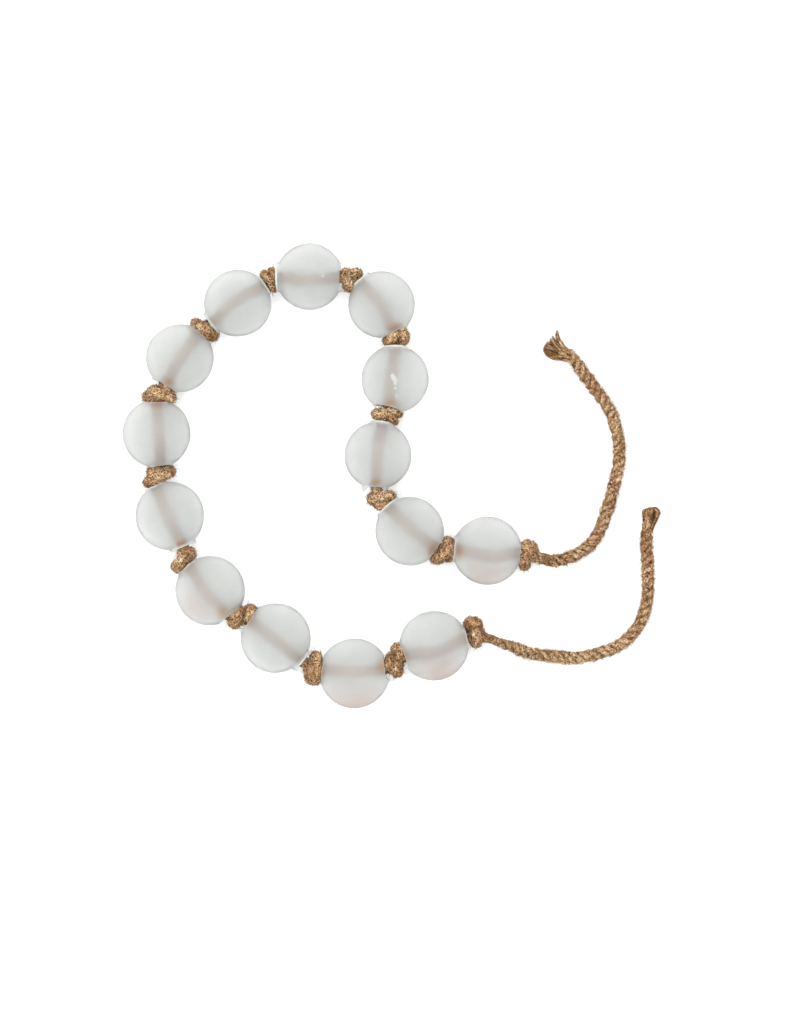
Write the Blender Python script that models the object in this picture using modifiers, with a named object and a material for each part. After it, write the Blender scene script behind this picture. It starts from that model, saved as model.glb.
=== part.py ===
"""Glass bead garland: fourteen frosted glass beads on one knotted jute cord.

The cord is tied in an overhand knot on both sides of every bead and ends in two free tails. The
garland lies on a flat surface at z = 0, in metres, +Z up. The origin is under the middle of the
strung stretch, and the chain runs from tail A to tail B.
"""

import math
from typing import NamedTuple

import bmesh
import bpy
from mathutils import Vector

# Driving dimensions, in metres
BEAD_WALL = 0.0016
HOLE_RADIUS = 0.0048
NECK_RADIUS = 0.0060
CORD_DIAMETER = 0.0054
CORD_AXIS_HEIGHT = 0.0134
GAP = 0.0003
STRAIGHT_START = 0.0015
STRAND_LAY = 0.0120
STRAND_CROWN = 0.0028
STRAND_FLANK = 0.0022

# Steps of the round and swept shapes
BEAD_STEPS = 14
FACET_SWELL = 1.018
OUTER_ARC_DEGREES = (45, 27, 9, -9, -27, -45)
INNER_ARC_DEGREES = (-45, -15, 15, 45)
KNOT_RINGS = 30
BORE_STATIONS = 6
TAIL_RINGS_PER_LAY = 8
FINE_STEPS = 400
SHARP_DEGREES = 40
WELD_DISTANCE = 0.000001

# Share of a bead's radius where its wall starts to lean with a mouth, and over which it does
LEAN_START = 0.35
LEAN_SPAN = 0.5

# Thickness of a tail just before its cut end, and at the cut end of each tail
TAIL_NECK_SHARE = 1.05
TIP_SHARE_A = 1.5
TIP_SHARE_B = 1.7

# Where the middle of the strung stretch lies in the tables below, in metres
MIDDLE_X = -0.0251
MIDDLE_Y = 0.0160

MM = 0.001
UP = Vector((0.0, 0.0, 1.0))


class Bead(NamedTuple):
    """Place in millimetres, directions in degrees, reach of each mouth in millimetres."""

    x: float
    y: float
    radius: float
    mouth_a: float
    reach_a: float
    mouth_b: float
    reach_b: float


#    x       y      radius  mouth_a  reach_a  mouth_b  reach_b
BEADS = (
    Bead(18.2, -59.0, 15.4, 14, 15.0, 200, 13.7),
    Bead(-17.0, -71.2, 15.4, 8, 13.5, 172, 14.4),
    Bead(-51.8, -55.6, 15.4, -41, 15.6, 147, 13.7),
    Bead(-80.7, -34.7, 15.3, -52, 13.6, 132, 14.7),
    Bead(-98.5, -1.7, 15.1, -66, 14.8, 116, 14.8),
    Bead(-104.3, 34.6, 15.0, -82, 14.2, 90, 13.7),
    Bead(-94.1, 67.9, 14.9, -120, 13.6, 52, 14.4),
    Bead(-68.6, 92.1, 14.8, -143, 14.5, 35, 14.4),
    Bead(-36.9, 103.9, 14.7, -179, 14.6, -1, 13.3),
    Bead(-5.0, 91.6, 14.7, 134, 14.6, -65, 13.2),
    Bead(0.9, 58.7, 14.8, 89, 14.5, -104, 13.0),
    Bead(-6.7, 24.9, 14.8, 82, 14.8, -94, 13.8),
    Bead(7.3, -8.5, 15.1, 131, 14.9, -33, 13.9),
    Bead(41.7, -17.1, 15.2, 176, 14.6, -6, 14.7),
)


class Knot(NamedTuple):
    """Hand of an overhand knot, 1 or -1, its turn about the cord in degrees, its pitch in mm."""

    hand: int
    roll: float
    pitch: float


# From end knot A to end knot B
#    hand  roll  pitch
KNOTS = (
    Knot(-1, 30, 3.9),
    Knot(1, 100, 4.0),
    Knot(-1, 60, 4.0),
    Knot(1, 60, 4.0),
    Knot(-1, 90, 3.8),
    Knot(-1, 65, 4.0),
    Knot(-1, 55, 3.8),
    Knot(-1, 90, 3.8),
    Knot(-1, 75, 3.2),
    Knot(-1, 20, 3.2),
    Knot(-1, 40, 3.3),
    Knot(-1, 60, 3.5),
    Knot(1, 90, 3.7),
    Knot(1, 65, 3.9),
    Knot(1, 20, 3.7),
)

# Headings in which the cord leaves the two end knots, in degrees
END_HEADING_A = -20
END_HEADING_B = -16

# Half the length of a knot and the place where its leads are straight, in knot pitches
KNOT_HALF_LENGTH = 1.16
LEAD_START = 2.2

# One half of an overhand knot, in knot pitches: along the cord, to its left, up, thickness.
# The other half is the same, turned half a turn about the axis that points left.
KNOT_HALF = (
    (-2.20, 0.00, 0.00, 1.35),
    (-1.80, 0.00, 0.00, 1.20),
    (-1.40, 0.00, 0.00, 0.90),
    (-0.75, 0.05, 0.22, 0.69),
    (0.00, -0.02, 0.58, 0.80),
    (0.40, -0.50, 0.84, 0.93),
    (0.56, -1.10, 0.52, 1.04),
    (0.58, -1.30, -0.20, 1.04),
    (0.58, -0.97, -0.97, 1.04),
    (0.58, -0.25, -1.34, 1.04),
    (0.56, 0.52, -1.20, 1.04),
    (0.40, 1.02, -0.66, 1.04),
    (0.00, 1.15, 0.00, 1.04),
)

# Routes of the two free tails in millimetres, each from its end knot to its cut end
TAIL_A_ROUTE = (
    (51.5, -59.0, 11.6),
    (58.2, -61.8, 7.8),
    (65.0, -63.3, 4.6),
    (72.0, -64.0, 3.1),
    (82.1, -64.4, 2.9),
    (93.5, -61.8, 2.9),
    (101.5, -58.2, 2.9),
    (108.1, -51.2, 2.9),
    (111.6, -42.8, 2.9),
    (112.9, -33.1, 2.9),
    (112.5, -21.2, 2.9),
    (112.1, -13.7, 2.9),
    (112.5, -5.7, 2.9),
    (114.1, 0.8, 4.3),
)
TAIL_B_ROUTE = (
    (77.0, -20.4, 10.8),
    (83.0, -17.7, 7.0),
    (88.2, -13.4, 4.2),
    (92.2, -6.7, 3.0),
    (96.2, 5.7, 2.9),
    (99.3, 17.6, 2.9),
    (100.2, 28.2, 2.9),
    (98.4, 37.9, 2.9),
    (95.3, 46.3, 2.9),
    (90.0, 53.8, 2.9),
    (83.4, 62.7, 2.9),
    (78.1, 70.2, 3.1),
    (72.6, 74.6, 5.1),
)


class Station(NamedTuple):
    """A cross plane of the chain: its place along the straight cord, its middle and its left."""

    along: float
    middle: Vector
    left: Vector


def clear_scene():
    """Remove every object that is in the scene."""
    for obj in list(bpy.data.objects):
        bpy.data.objects.remove(obj, do_unlink=True)


def make_material(name, colour, roughness, transmission=0.0):
    """Return a Principled material with a linear colour."""
    material = bpy.data.materials.new(name)
    material.use_nodes = True
    shader = material.node_tree.nodes["Principled BSDF"]
    shader.inputs["Base Color"].default_value = (*colour, 1.0)
    shader.inputs["Roughness"].default_value = roughness
    shader.inputs["Metallic"].default_value = 0.0
    shader.inputs["Transmission Weight"].default_value = transmission
    material.diffuse_color = (*colour, 1.0)
    return material


def heading_vector(degrees):
    """Return the unit vector of a heading in the horizontal plane."""
    angle = math.radians(degrees)
    return Vector((math.cos(angle), math.sin(angle), 0.0))


def left_of(direction):
    """Return the horizontal vector a quarter turn to the left of a direction."""
    return Vector((-direction.y, direction.x, 0.0))


def right_of(direction):
    """Return the horizontal vector a quarter turn to the right of a direction."""
    return -left_of(direction)


def turned_object(name, profile, steps):
    """Return an object of a closed profile, given as radius and height, turned about Z."""
    mesh = bpy.data.meshes.new(name)
    points = [(radius, 0.0, height) for radius, height in profile]
    edges = [(i, (i + 1) % len(points)) for i in range(len(points))]
    mesh.from_pydata(points, edges, [])
    obj = bpy.data.objects.new(name, mesh)
    bpy.context.scene.collection.objects.link(obj)
    screw = obj.modifiers.new("Turn", "SCREW")
    screw.angle = 2.0 * math.pi
    screw.steps = steps
    screw.render_steps = steps
    screw.use_merge_vertices = True
    screw.merge_threshold = WELD_DISTANCE
    return obj


def baked_mesh(obj, name):
    """Return the evaluated mesh of an object, and remove the object."""
    bpy.context.view_layer.update()
    evaluated = obj.evaluated_get(bpy.context.evaluated_depsgraph_get())
    mesh = bpy.data.meshes.new_from_object(evaluated)
    mesh.name = name
    bpy.data.objects.remove(obj, do_unlink=True)
    return mesh


def bead_centre(bead):
    """Return the middle of a bead, which rests on its lowest facet."""
    half_arc = math.radians(OUTER_ARC_DEGREES[2])
    half_step = math.pi / BEAD_STEPS
    height = bead.radius * MM * FACET_SWELL * math.cos(half_arc) * math.cos(half_step)
    return Vector((bead.x * MM - MIDDLE_X, bead.y * MM - MIDDLE_Y, height))


def mouth_rim(radius, reach):
    """Return the outer points of a mouth, from its rim to where it joins the ball."""
    shoulder = math.sqrt(radius ** 2 - NECK_RADIUS ** 2)
    if reach > shoulder:
        return [(NECK_RADIUS, reach), (NECK_RADIUS, shoulder)]
    return [(math.sqrt(radius ** 2 - reach ** 2), reach)]


def bead_profile(bead):
    """Return the wall of a bead as a closed outline of radius and height."""
    radius = bead.radius * MM * FACET_SWELL
    inner = bead.radius * MM - BEAD_WALL
    reach_a = bead.reach_a * MM
    reach_b = bead.reach_b * MM
    inner_shoulder = math.sqrt(inner ** 2 - HOLE_RADIUS ** 2)
    outline = mouth_rim(radius, reach_b)
    for degrees in OUTER_ARC_DEGREES:
        angle = math.radians(degrees)
        outline.append((radius * math.cos(angle), radius * math.sin(angle)))
    outline += [(r, -z) for r, z in reversed(mouth_rim(radius, reach_a))]
    outline += [(HOLE_RADIUS, -reach_a), (HOLE_RADIUS, -inner_shoulder)]
    for degrees in INNER_ARC_DEGREES:
        angle = math.radians(degrees)
        outline.append((inner * math.cos(angle), inner * math.sin(angle)))
    outline += [(HOLE_RADIUS, inner_shoulder), (HOLE_RADIUS, reach_b)]
    return outline


def short_angle(degrees):
    """Return an angle between -180 and 180 degrees."""
    return (degrees + 180.0) % 360.0 - 180.0


def mouth_weight(share):
    """Return how far a point leans with its mouth, from 0 at the middle to 1 at the mouth."""
    t = min(1.0, max(0.0, (share - LEAN_START) / LEAN_SPAN))
    return t * t * (3.0 - 2.0 * t)


def make_bead(index, bead, material, collection):
    """Make one hollow bead, its bore along the chain, each mouth turned to its neighbour."""
    name = f"bead_{index:02d}"
    mesh = baked_mesh(turned_object(name, bead_profile(bead), BEAD_STEPS), name)
    lean = short_angle(bead.mouth_b - bead.mouth_a - 180.0) / 2.0
    heading = bead.mouth_b - lean
    centre = bead_centre(bead)
    for vertex in mesh.vertices:
        side, up, along = vertex.co
        share = along / (bead.radius * MM)
        turn = heading + lean * math.copysign(mouth_weight(abs(share)), share)
        ahead = heading_vector(turn)
        vertex.co = centre + along * ahead + side * left_of(ahead) + up * UP
    mesh.shade_smooth()
    mesh.set_sharp_from_angle(angle=math.radians(SHARP_DEGREES))
    mesh.materials.clear()
    mesh.materials.append(material)
    obj = bpy.data.objects.new(name, mesh)
    collection.objects.link(obj)
    return obj


def mouth(bead, degrees, reach):
    """Return the middle of a mouth at the height of the cord, a gap clear of its rim."""
    centre = bead_centre(bead)
    place = centre + (reach * MM + GAP) * heading_vector(degrees)
    return Vector((place.x, place.y, CORD_AXIS_HEIGHT))


def bore_stations(bead, along):
    """Return the cross planes from mouth A to mouth B of a bead, without the first."""
    start = mouth(bead, bead.mouth_a, bead.reach_a)
    end = mouth(bead, bead.mouth_b, bead.reach_b)
    ahead_a = heading_vector(bead.mouth_a + 180.0)
    ahead_b = heading_vector(bead.mouth_b)
    span = (end - start).length
    stations = []
    last = start
    for step in range(1, BORE_STATIONS + 1):
        t = step / BORE_STATIONS
        place = (
            (2 * t ** 3 - 3 * t ** 2 + 1) * start
            + (t ** 3 - 2 * t ** 2 + t) * span * ahead_a
            + (3 * t ** 2 - 2 * t ** 3) * end
            + (t ** 3 - t ** 2) * span * ahead_b
        )
        along += (place - last).length
        last = place
        slope = (
            (6 * t ** 2 - 6 * t) * (start - end)
            + (3 * t ** 2 - 4 * t + 1) * span * ahead_a
            + (3 * t ** 2 - 2 * t) * span * ahead_b
        )
        stations.append(Station(along, place, left_of(slope.normalized())))
    return stations


def knot_length(knot):
    """Return the length of a knot along the straight cord."""
    return 2.0 * KNOT_HALF_LENGTH * knot.pitch * MM


def end_station(knot, bead, degrees, reach, heading, along):
    """Return the cross plane on the free side of an end knot."""
    near = mouth(bead, degrees, reach)
    mean = heading_vector((degrees + heading) / 2.0)
    return Station(along, near + knot_length(knot) * mean, left_of(heading_vector(heading)))


def chain_stations():
    """Return the cross planes of the whole strung stretch, from end knot A to end knot B."""
    first, last = BEADS[0], BEADS[-1]
    start = end_station(KNOTS[0], first, first.mouth_a, first.reach_a, END_HEADING_A, 0.0)
    stations = [Station(0.0, start.middle, -start.left)]
    along = 0.0
    for knot, bead in zip(KNOTS, BEADS):
        along += knot_length(knot)
        ahead = heading_vector(bead.mouth_a + 180.0)
        stations.append(Station(along, mouth(bead, bead.mouth_a, bead.reach_a), left_of(ahead)))
        stations += bore_stations(bead, along)
        along = stations[-1].along
    along += knot_length(KNOTS[-1])
    stations.append(end_station(KNOTS[-1], last, last.mouth_b, last.reach_b, END_HEADING_B, along))
    return stations


def laid_point(point, stations):
    """Return where a point of the straight cord lies once the cord follows the chain."""
    start, end = stations[0], stations[-1]
    if start.along < point.x < end.along:
        i = next(k for k in range(1, len(stations)) if point.x <= stations[k].along)
        near, far = stations[i - 1], stations[i]
        share = (point.x - near.along) / (far.along - near.along)
        middle = near.middle.lerp(far.middle, share)
        left = near.left.lerp(far.left, share)
    else:
        near = start if point.x <= start.along else end
        left = near.left
        middle = near.middle + (point.x - near.along) * right_of(left)
    return middle + point.y * left + point.z * UP


def smooth_point(points, place):
    """Return a point of the smooth curve through the points, at a place from 0 to their count - 1."""
    i = min(int(place), len(points) - 2)
    t = place - i
    before = points[max(i - 1, 0)]
    start, end = points[i], points[i + 1]
    after = points[min(i + 2, len(points) - 1)]
    return 0.5 * (
        2.0 * start
        + (end - before) * t
        + (2.0 * before - 5.0 * start + 4.0 * end - after) * t ** 2
        + (3.0 * start - before - 3.0 * end + after) * t ** 3
    )


def even_points(points, count):
    """Return points spread evenly along the smooth curve through the points."""
    last = len(points) - 1
    fine = [smooth_point(points, last * k / FINE_STEPS) for k in range(FINE_STEPS + 1)]
    lengths = [0.0]
    for a, b in zip(fine, fine[1:]):
        lengths.append(lengths[-1] + (b - a).to_3d().length)
    spread = []
    i = 0
    for k in range(count):
        wanted = lengths[-1] * k / (count - 1)
        while i < FINE_STEPS - 1 and lengths[i + 1] < wanted:
            i += 1
        share = (wanted - lengths[i]) / (lengths[i + 1] - lengths[i])
        spread.append(fine[i].lerp(fine[i + 1], share))
    return spread


def knot_route(middle, knot):
    """Return the route of one overhand knot on the straight cord, with its thickness."""
    half = [Vector(point) for point in KNOT_HALF]
    other = [Vector((-p.x, p.y, -p.z, p.w)) for p in reversed(half[:-1])]
    cosine, sine = math.cos(math.radians(knot.roll)), math.sin(math.radians(knot.roll))
    pitch = knot.pitch * MM
    route = []
    for p in even_points(half + other, KNOT_RINGS):
        left = knot.hand * (p.y * cosine - p.z * sine)
        up = p.y * sine + p.z * cosine
        thickness = min(p.w * pitch, CORD_DIAMETER)
        route.append(Vector((middle + p.x * pitch, left * pitch, up * pitch, thickness)))
    return route


def swept_cord(name, points, tilt=0.0, section=None):
    """Return the mesh of a cord along points that hold their thickness, with its ends closed."""
    curve = bpy.data.curves.new(name, "CURVE")
    curve.dimensions = "3D"
    curve.use_fill_caps = True
    if section is None:
        curve.bevel_depth = CORD_DIAMETER / 2.0
        curve.bevel_resolution = 1
    else:
        curve.bevel_mode = "OBJECT"
        curve.bevel_object = section
    spline = curve.splines.new("POLY")
    spline.points.add(len(points) - 1)
    for i, (spot, point) in enumerate(zip(spline.points, points)):
        spot.co = (*point.to_3d(), 1.0)
        spot.radius = point.w / CORD_DIAMETER
        spot.tilt = i * tilt
    obj = bpy.data.objects.new(name, curve)
    bpy.context.scene.collection.objects.link(obj)
    mesh = baked_mesh(obj, name)
    join_caps(mesh)
    return mesh


def join_caps(mesh):
    """Join the caps of a swept mesh to its wall."""
    work = bmesh.new()
    work.from_mesh(mesh)
    bmesh.ops.remove_doubles(work, verts=work.verts, dist=WELD_DISTANCE)
    bmesh.ops.recalc_face_normals(work, faces=work.faces)
    work.to_mesh(mesh)
    work.free()


def make_knotted_cord(material, collection):
    """Make the strung stretch of the cord with all its knots, as one solid."""
    stations = chain_stations()
    points = []
    for k, knot in enumerate(KNOTS):
        middle = stations[k * (BORE_STATIONS + 1)].along + knot_length(knot) / 2.0
        route = knot_route(middle, knot)
        if points:
            points.append(points[-1].lerp(route[0], 0.5))
        points += route
    mesh = swept_cord("knotted_cord", points)
    for vertex in mesh.vertices:
        vertex.co = laid_point(vertex.co, stations)
    return finish_soft("knotted_cord", mesh, material, collection)


def finish_soft(name, mesh, material, collection):
    """Link a cord's mesh as an object, shaded smooth, with its material."""
    mesh.shade_smooth()
    mesh.materials.clear()
    mesh.materials.append(material)
    obj = bpy.data.objects.new(name, mesh)
    collection.objects.link(obj)
    return obj


def strand_section(collection):
    """Return a closed guide curve: the section of a cord of three laid strands."""
    curve = bpy.data.curves.new("strand_section", "CURVE")
    curve.dimensions = "2D"
    spline = curve.splines.new("POLY")
    radii = (STRAND_CROWN, STRAND_FLANK, STRAND_FLANK) * 3
    spline.points.add(len(radii) - 1)
    spline.use_cyclic_u = True
    for i, radius in enumerate(radii):
        angle = 2.0 * math.pi * i / len(radii)
        spline.points[i].co = (radius * math.cos(angle), radius * math.sin(angle), 0.0, 1.0)
    obj = bpy.data.objects.new("strand_section", curve)
    obj.hide_render = True
    obj.display_type = "WIRE"
    collection.objects.link(obj)
    return obj


def make_tail(name, knot, station, sign, route, tip_share, section, material, collection):
    """Make one free tail, from the cut face of the strung stretch to its flared end."""
    ahead = sign * right_of(station.left)
    lead = (LEAD_START - KNOT_HALF_LENGTH) * knot.pitch * MM
    start = station.middle + (lead + GAP) * ahead
    places = [start + STRAIGHT_START * ahead]
    for x, y, z in route:
        places.append(Vector((x * MM - MIDDLE_X, y * MM - MIDDLE_Y, z * MM)))
    length = sum((b - a).length for a, b in zip(places, places[1:]))
    count = round(length / STRAND_LAY * TAIL_RINGS_PER_LAY)
    shares = [1.0] * (count - 3) + [TAIL_NECK_SHARE, (1.0 + tip_share) / 2.0, tip_share]
    points = []
    for place, share in zip([start] + even_points(places, count - 1), shares):
        points.append(Vector((*place, share * CORD_DIAMETER)))
    mesh = swept_cord(name, points, -2.0 * math.pi / TAIL_RINGS_PER_LAY, section)
    return finish_soft(name, mesh, material, collection)


def build():
    """Build the whole garland."""
    clear_scene()
    parts = bpy.data.collections.new("glass_bead_garland")
    guides = bpy.data.collections.new("guides")
    bpy.context.scene.collection.children.link(parts)
    bpy.context.scene.collection.children.link(guides)
    glass = make_material("frosted_glass", (0.75, 0.79, 0.75), 0.5, 0.6)
    jute = make_material("jute_cord", (0.40, 0.24, 0.12), 0.9)
    for index, bead in enumerate(BEADS, start=1):
        make_bead(index, bead, glass, parts)
    make_knotted_cord(jute, parts)
    stations = chain_stations()
    section = strand_section(guides)
    first, last = stations[0], stations[-1]
    tip_a, tip_b = TIP_SHARE_A, TIP_SHARE_B
    make_tail("cord_tail_a", KNOTS[0], first, -1.0, TAIL_A_ROUTE, tip_a, section, jute, parts)
    make_tail("cord_tail_b", KNOTS[-1], last, 1.0, TAIL_B_ROUTE, tip_b, section, jute, parts)


build()
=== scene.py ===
"""Dresses the glass bead garland: hollow frosted beads on a knotted jute cord, laid out in a loop.

Lengths are in metres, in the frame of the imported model, unless a name or a comment says millimetres.
The tables repeat the part's own layout, so every piece lies where its solid lies.
"""

import logging
import math
from dataclasses import dataclass
from enum import Enum
from typing import Any, NamedTuple, Sequence

import bpy
import numpy as np
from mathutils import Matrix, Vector


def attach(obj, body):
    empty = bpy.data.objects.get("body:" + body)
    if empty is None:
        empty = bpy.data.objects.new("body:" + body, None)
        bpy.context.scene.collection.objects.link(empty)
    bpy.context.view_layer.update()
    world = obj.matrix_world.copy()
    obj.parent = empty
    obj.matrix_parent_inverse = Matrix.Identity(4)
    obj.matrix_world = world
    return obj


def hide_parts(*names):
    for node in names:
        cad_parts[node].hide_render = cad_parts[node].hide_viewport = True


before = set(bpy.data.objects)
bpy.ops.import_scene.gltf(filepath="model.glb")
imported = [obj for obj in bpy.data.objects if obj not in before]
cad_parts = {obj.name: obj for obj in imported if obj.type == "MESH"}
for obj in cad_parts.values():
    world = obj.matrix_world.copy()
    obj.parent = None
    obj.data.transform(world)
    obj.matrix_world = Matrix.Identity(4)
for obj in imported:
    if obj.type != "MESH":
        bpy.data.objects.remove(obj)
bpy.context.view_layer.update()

log = logging.getLogger("garland")

MM = 0.001
ROOT = "root"
UP = np.array((0.0, 0.0, 1.0))


class Slot(Enum):
    """Material slots of the record."""

    GLASS = "frosted_glass"
    JUTE = "jute_cord"


# Layout of the garland, in millimetres and degrees on the table it lies on


class Mouth(NamedTuple):
    """One mouth of a bead: its heading and reach, the half width of its lip, and how far the lip stands
    proud of that reach at its top and, seen along its heading, on its left and on its right."""

    heading: float
    reach: float
    half: float = 5.4
    top: float = 0.0
    left: float = 0.3
    right: float = 0.3


class BeadPlan(NamedTuple):
    """Place and radius of a bead, its two mouths, and how far the cord swings left and lifts inside it."""

    x: float
    y: float
    radius: float
    a: Mouth
    b: Mouth
    swing: float = 0.0
    lift: float = 0.0


class Wrap(NamedTuple):
    """One turn of the cord round a knot, seen from above: its ends from the knot's middle, its thickness."""

    x1: float
    y1: float
    x2: float
    y2: float
    thickness: float


class KnotPlan(NamedTuple):
    """Pitch of a knot, its middle and its turns, the topmost first."""

    pitch: float
    x: float
    y: float
    wraps: tuple[Wrap, ...]


class Spot(NamedTuple):
    """A mark in the glass: its middle and its radius, in metres."""

    x: float
    y: float
    z: float
    radius: float


class Shade(Enum):
    """Colours of the few stray fibres and chips of bark in the cord."""

    MADDER = "#A8483C"
    PINK = "#C4707A"
    BARK = "#4A3426"
    STRAW = "#8E6238"


class Stray(NamedTuple):
    """One stray fibre or chip of bark that lies on the cord, with the heights of its points."""

    name: str
    shade: Shade
    thickness: float
    points: tuple[tuple[float, float, float], ...]


class BrushPart(NamedTuple):
    """One lock of an opened end: its loose fibres, the radius of its heart at both ends, and its route."""

    name: str
    fibres: int
    start_radius: float
    end_radius: float
    route: tuple[tuple[float, float, float], ...]


class Hair(NamedTuple):
    """How hairy a stretch of cord is: standing and lying fibres to the square metre, and their seed."""

    standing: float
    lying: float
    seed: int


BEADS = (
    BeadPlan(18.2, -59.0, 15.4, Mouth(14, 15.0, 5.0, -0.2, -0.4, 0.4),
             Mouth(200, 13.7, 5.8, -0.1), 2.8, 1.0),
    BeadPlan(-17.0, -71.2, 15.4, Mouth(8, 13.5, 5.4, -0.2, 0.3, 1.6),
             Mouth(172, 14.4, 5.4, 0.0, 0.1, 0.1), 0.4, 2.5),
    BeadPlan(-51.8, -55.6, 15.4, Mouth(-41, 15.6, 5.2, 0.3, -0.4, 0.9),
             Mouth(147, 13.7, 5.6, 0.0, 1.6, 0.3), 0.3, 1.0),
    BeadPlan(-80.7, -34.7, 15.3, Mouth(-52, 13.6, 6.0, 0.0, 0.5, 0.5),
             Mouth(132, 14.7, 5.0, 0.1, 0.2, 0.2), 1.6, 2.2),
    BeadPlan(-98.5, -1.7, 15.1, Mouth(-66, 14.8, 5.8, 0.0, 0.8, 0.3),
             Mouth(116, 14.8, 5.0, 0.1, 0.2, 0.2), 0.9, 1.2),
    BeadPlan(-104.3, 34.6, 15.0, Mouth(-82, 14.2, 5.2, 0.0, 0.3, 0.3),
             Mouth(90, 13.7, 6.2, -0.2, 0.4, 0.4), -0.5, 3.5),
    BeadPlan(-94.1, 67.9, 14.9, Mouth(-120, 13.6, 6.3, -0.2, 0.3, 0.5),
             Mouth(52, 14.4, 5.0, 0.1), 0.0, 1.8),
    BeadPlan(-68.6, 92.1, 14.8, Mouth(-143, 14.5, 5.2, 0.3, 0.4, 0.5),
             Mouth(35, 14.4, 4.8, 0.3, 0.2, 0.2), 1.4, 0.0),
    BeadPlan(-36.9, 103.9, 14.7, Mouth(-179, 14.6, 6.3, 0.2, 0.0, 0.0),
             Mouth(-1, 13.3, 6.2, -0.2, 0.8, 2.3), -1.5, -1.8),
    BeadPlan(-5.0, 91.6, 14.7, Mouth(134, 14.6, 5.5, 0.2, 0.2, 0.5),
             Mouth(-65, 13.2, 6.5, 0.0, 0.2, 0.3), 0.8, 0.0),
    BeadPlan(0.9, 58.7, 14.8, Mouth(89, 14.8, 6.4, 0.1, -1.6, -1.6),
             Mouth(-104, 13.0, 6.6, -0.7, 0.5, 0.6), -1.0, 0.5),
    BeadPlan(-6.7, 24.9, 14.8, Mouth(82, 14.8, 5.2, 0.5, -0.3, -0.5),
             Mouth(-94, 13.8, 5.6, 0.0, 1.3, 2.6), -0.5, 2.0),
    BeadPlan(7.3, -8.5, 15.1, Mouth(131, 14.9, 5.8, 0.2, 0.0, 0.0),
             Mouth(-33, 13.9, 5.8), 0.1, 0.5),
    BeadPlan(41.7, -17.1, 15.2, Mouth(176, 14.6, 5.6),
             Mouth(-6, 14.7, 5.2, -0.2), -2.1, 2.0),
)

KNOTS = (
    KnotPlan(3.9, 35.3, -53.4, (Wrap(-1.5, 4.0, 1.1, 3.8, 5.5), Wrap(-0.4, 2.2, 1.5, -4.7, 4.2),
                                Wrap(1.8, 3.1, 3.3, -0.2, 3.1))),
    KnotPlan(4.0, 0.9, -65.3, (Wrap(1.3, 4.9, 1.4, 1.1, 5.4), Wrap(-1.4, 0.7, -1.1, -3.8, 5.5),
                               Wrap(1.0, -1.3, 1.0, -5.4, 4.6))),
    KnotPlan(4.0, -35.1, -69.0, (Wrap(0.9, 5.2, 1.3, 2.2, 4.8), Wrap(1.3, 0.2, 0.8, -4.9, 5.3),
                                 Wrap(-1.9, 0.2, -0.9, -4.6, 4.9))),
    KnotPlan(4.0, -67.3, -46.1, (Wrap(-0.9, 2.1, -2.6, -2.4, 6.0), Wrap(4.5, 2.9, 3.4, 0.2, 5.5),
                                 Wrap(-5.1, 1.1, -1.8, 1.5, 3.1))),
    KnotPlan(3.8, -92.4, -21.2, (Wrap(-0.1, 2.8, 2.8, 2.9, 5.3), Wrap(-2.6, -3.0, 0.9, 0.7, 5.4))),
    KnotPlan(4.0, -103.2, 15.4, (Wrap(-3.1, 2.0, 4.7, 2.3, 5.0), Wrap(-4.9, -2.3, 1.3, 0.4, 4.9))),
    KnotPlan(3.8, -103.2, 52.1, (Wrap(-2.1, 0.5, 0.8, -0.4, 6.6), Wrap(3.8, -0.7, 4.9, -1.6, 4.9),
                                 Wrap(-5.2, -2.1, -3.5, -0.2, 4.4), Wrap(1.4, 3.4, 5.3, 1.0, 2.9))),
    KnotPlan(3.8, -83.4, 80.7, (Wrap(-3.6, 2.2, 2.0, -2.2, 5.1), Wrap(1.4, 0.5, 3.8, -2.7, 4.9))),
    KnotPlan(3.2, -54.7, 102.8, (Wrap(-1.9, 1.9, 1.1, -2.0, 3.9), Wrap(1.1, 3.7, 1.6, -0.9, 2.9),
                                 Wrap(1.4, -0.9, 2.1, -4.0, 2.8))),
    KnotPlan(3.2, -18.5, 102.8, (Wrap(-2.6, 2.6, -1.3, -3.4, 4.5), Wrap(-0.4, 1.6, 3.2, 2.3, 3.8),
                                 Wrap(-0.4, -0.9, -0.5, -3.8, 3.7))),
    KnotPlan(3.3, 1.3, 77.7, (Wrap(-3.5, -2.2, 0.8, 0.9, 4.8), Wrap(1.9, 2.3, 3.3, -2.0, 4.6))),
    KnotPlan(3.5, -2.6, 43.2, (Wrap(-4.8, 0.0, -0.4, -0.1, 4.7), Wrap(-0.7, 0.6, 4.6, 0.7, 4.8),
                               Wrap(1.1, -1.0, 3.2, -3.1, 3.3))),
    KnotPlan(3.7, -5.1, 5.5, (Wrap(-4.3, 0.2, 4.3, 1.0, 4.9), Wrap(-1.0, -2.2, 1.9, -2.0, 4.7),
                              Wrap(-2.8, 3.6, -0.6, 3.4, 2.5))),
    KnotPlan(3.9, 22.1, -17.2, (Wrap(-3.2, -3.1, 0.9, -0.2, 5.5), Wrap(2.5, 4.1, 1.9, -2.3, 4.7),
                                Wrap(3.6, -0.4, 3.2, -2.5, 3.7))),
    KnotPlan(3.7, 59.6, -19.0, (Wrap(-0.4, 3.4, 1.0, 3.1, 6.1), Wrap(-0.9, 1.3, -1.6, -4.5, 4.6),
                                Wrap(1.9, 1.8, 3.1, -0.7, 3.4))),
)

# Where the cord heads past its end knots, and the middle of the layout
END_HEADING_A = -20.0
END_HEADING_B = -16.0
MIDDLE = np.array((-25.1, 16.0, 0.0))

# Half of a knot and its lead, in knot pitches
KNOT_HALF_LENGTH = 1.16
LEAD_START = 2.2

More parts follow.
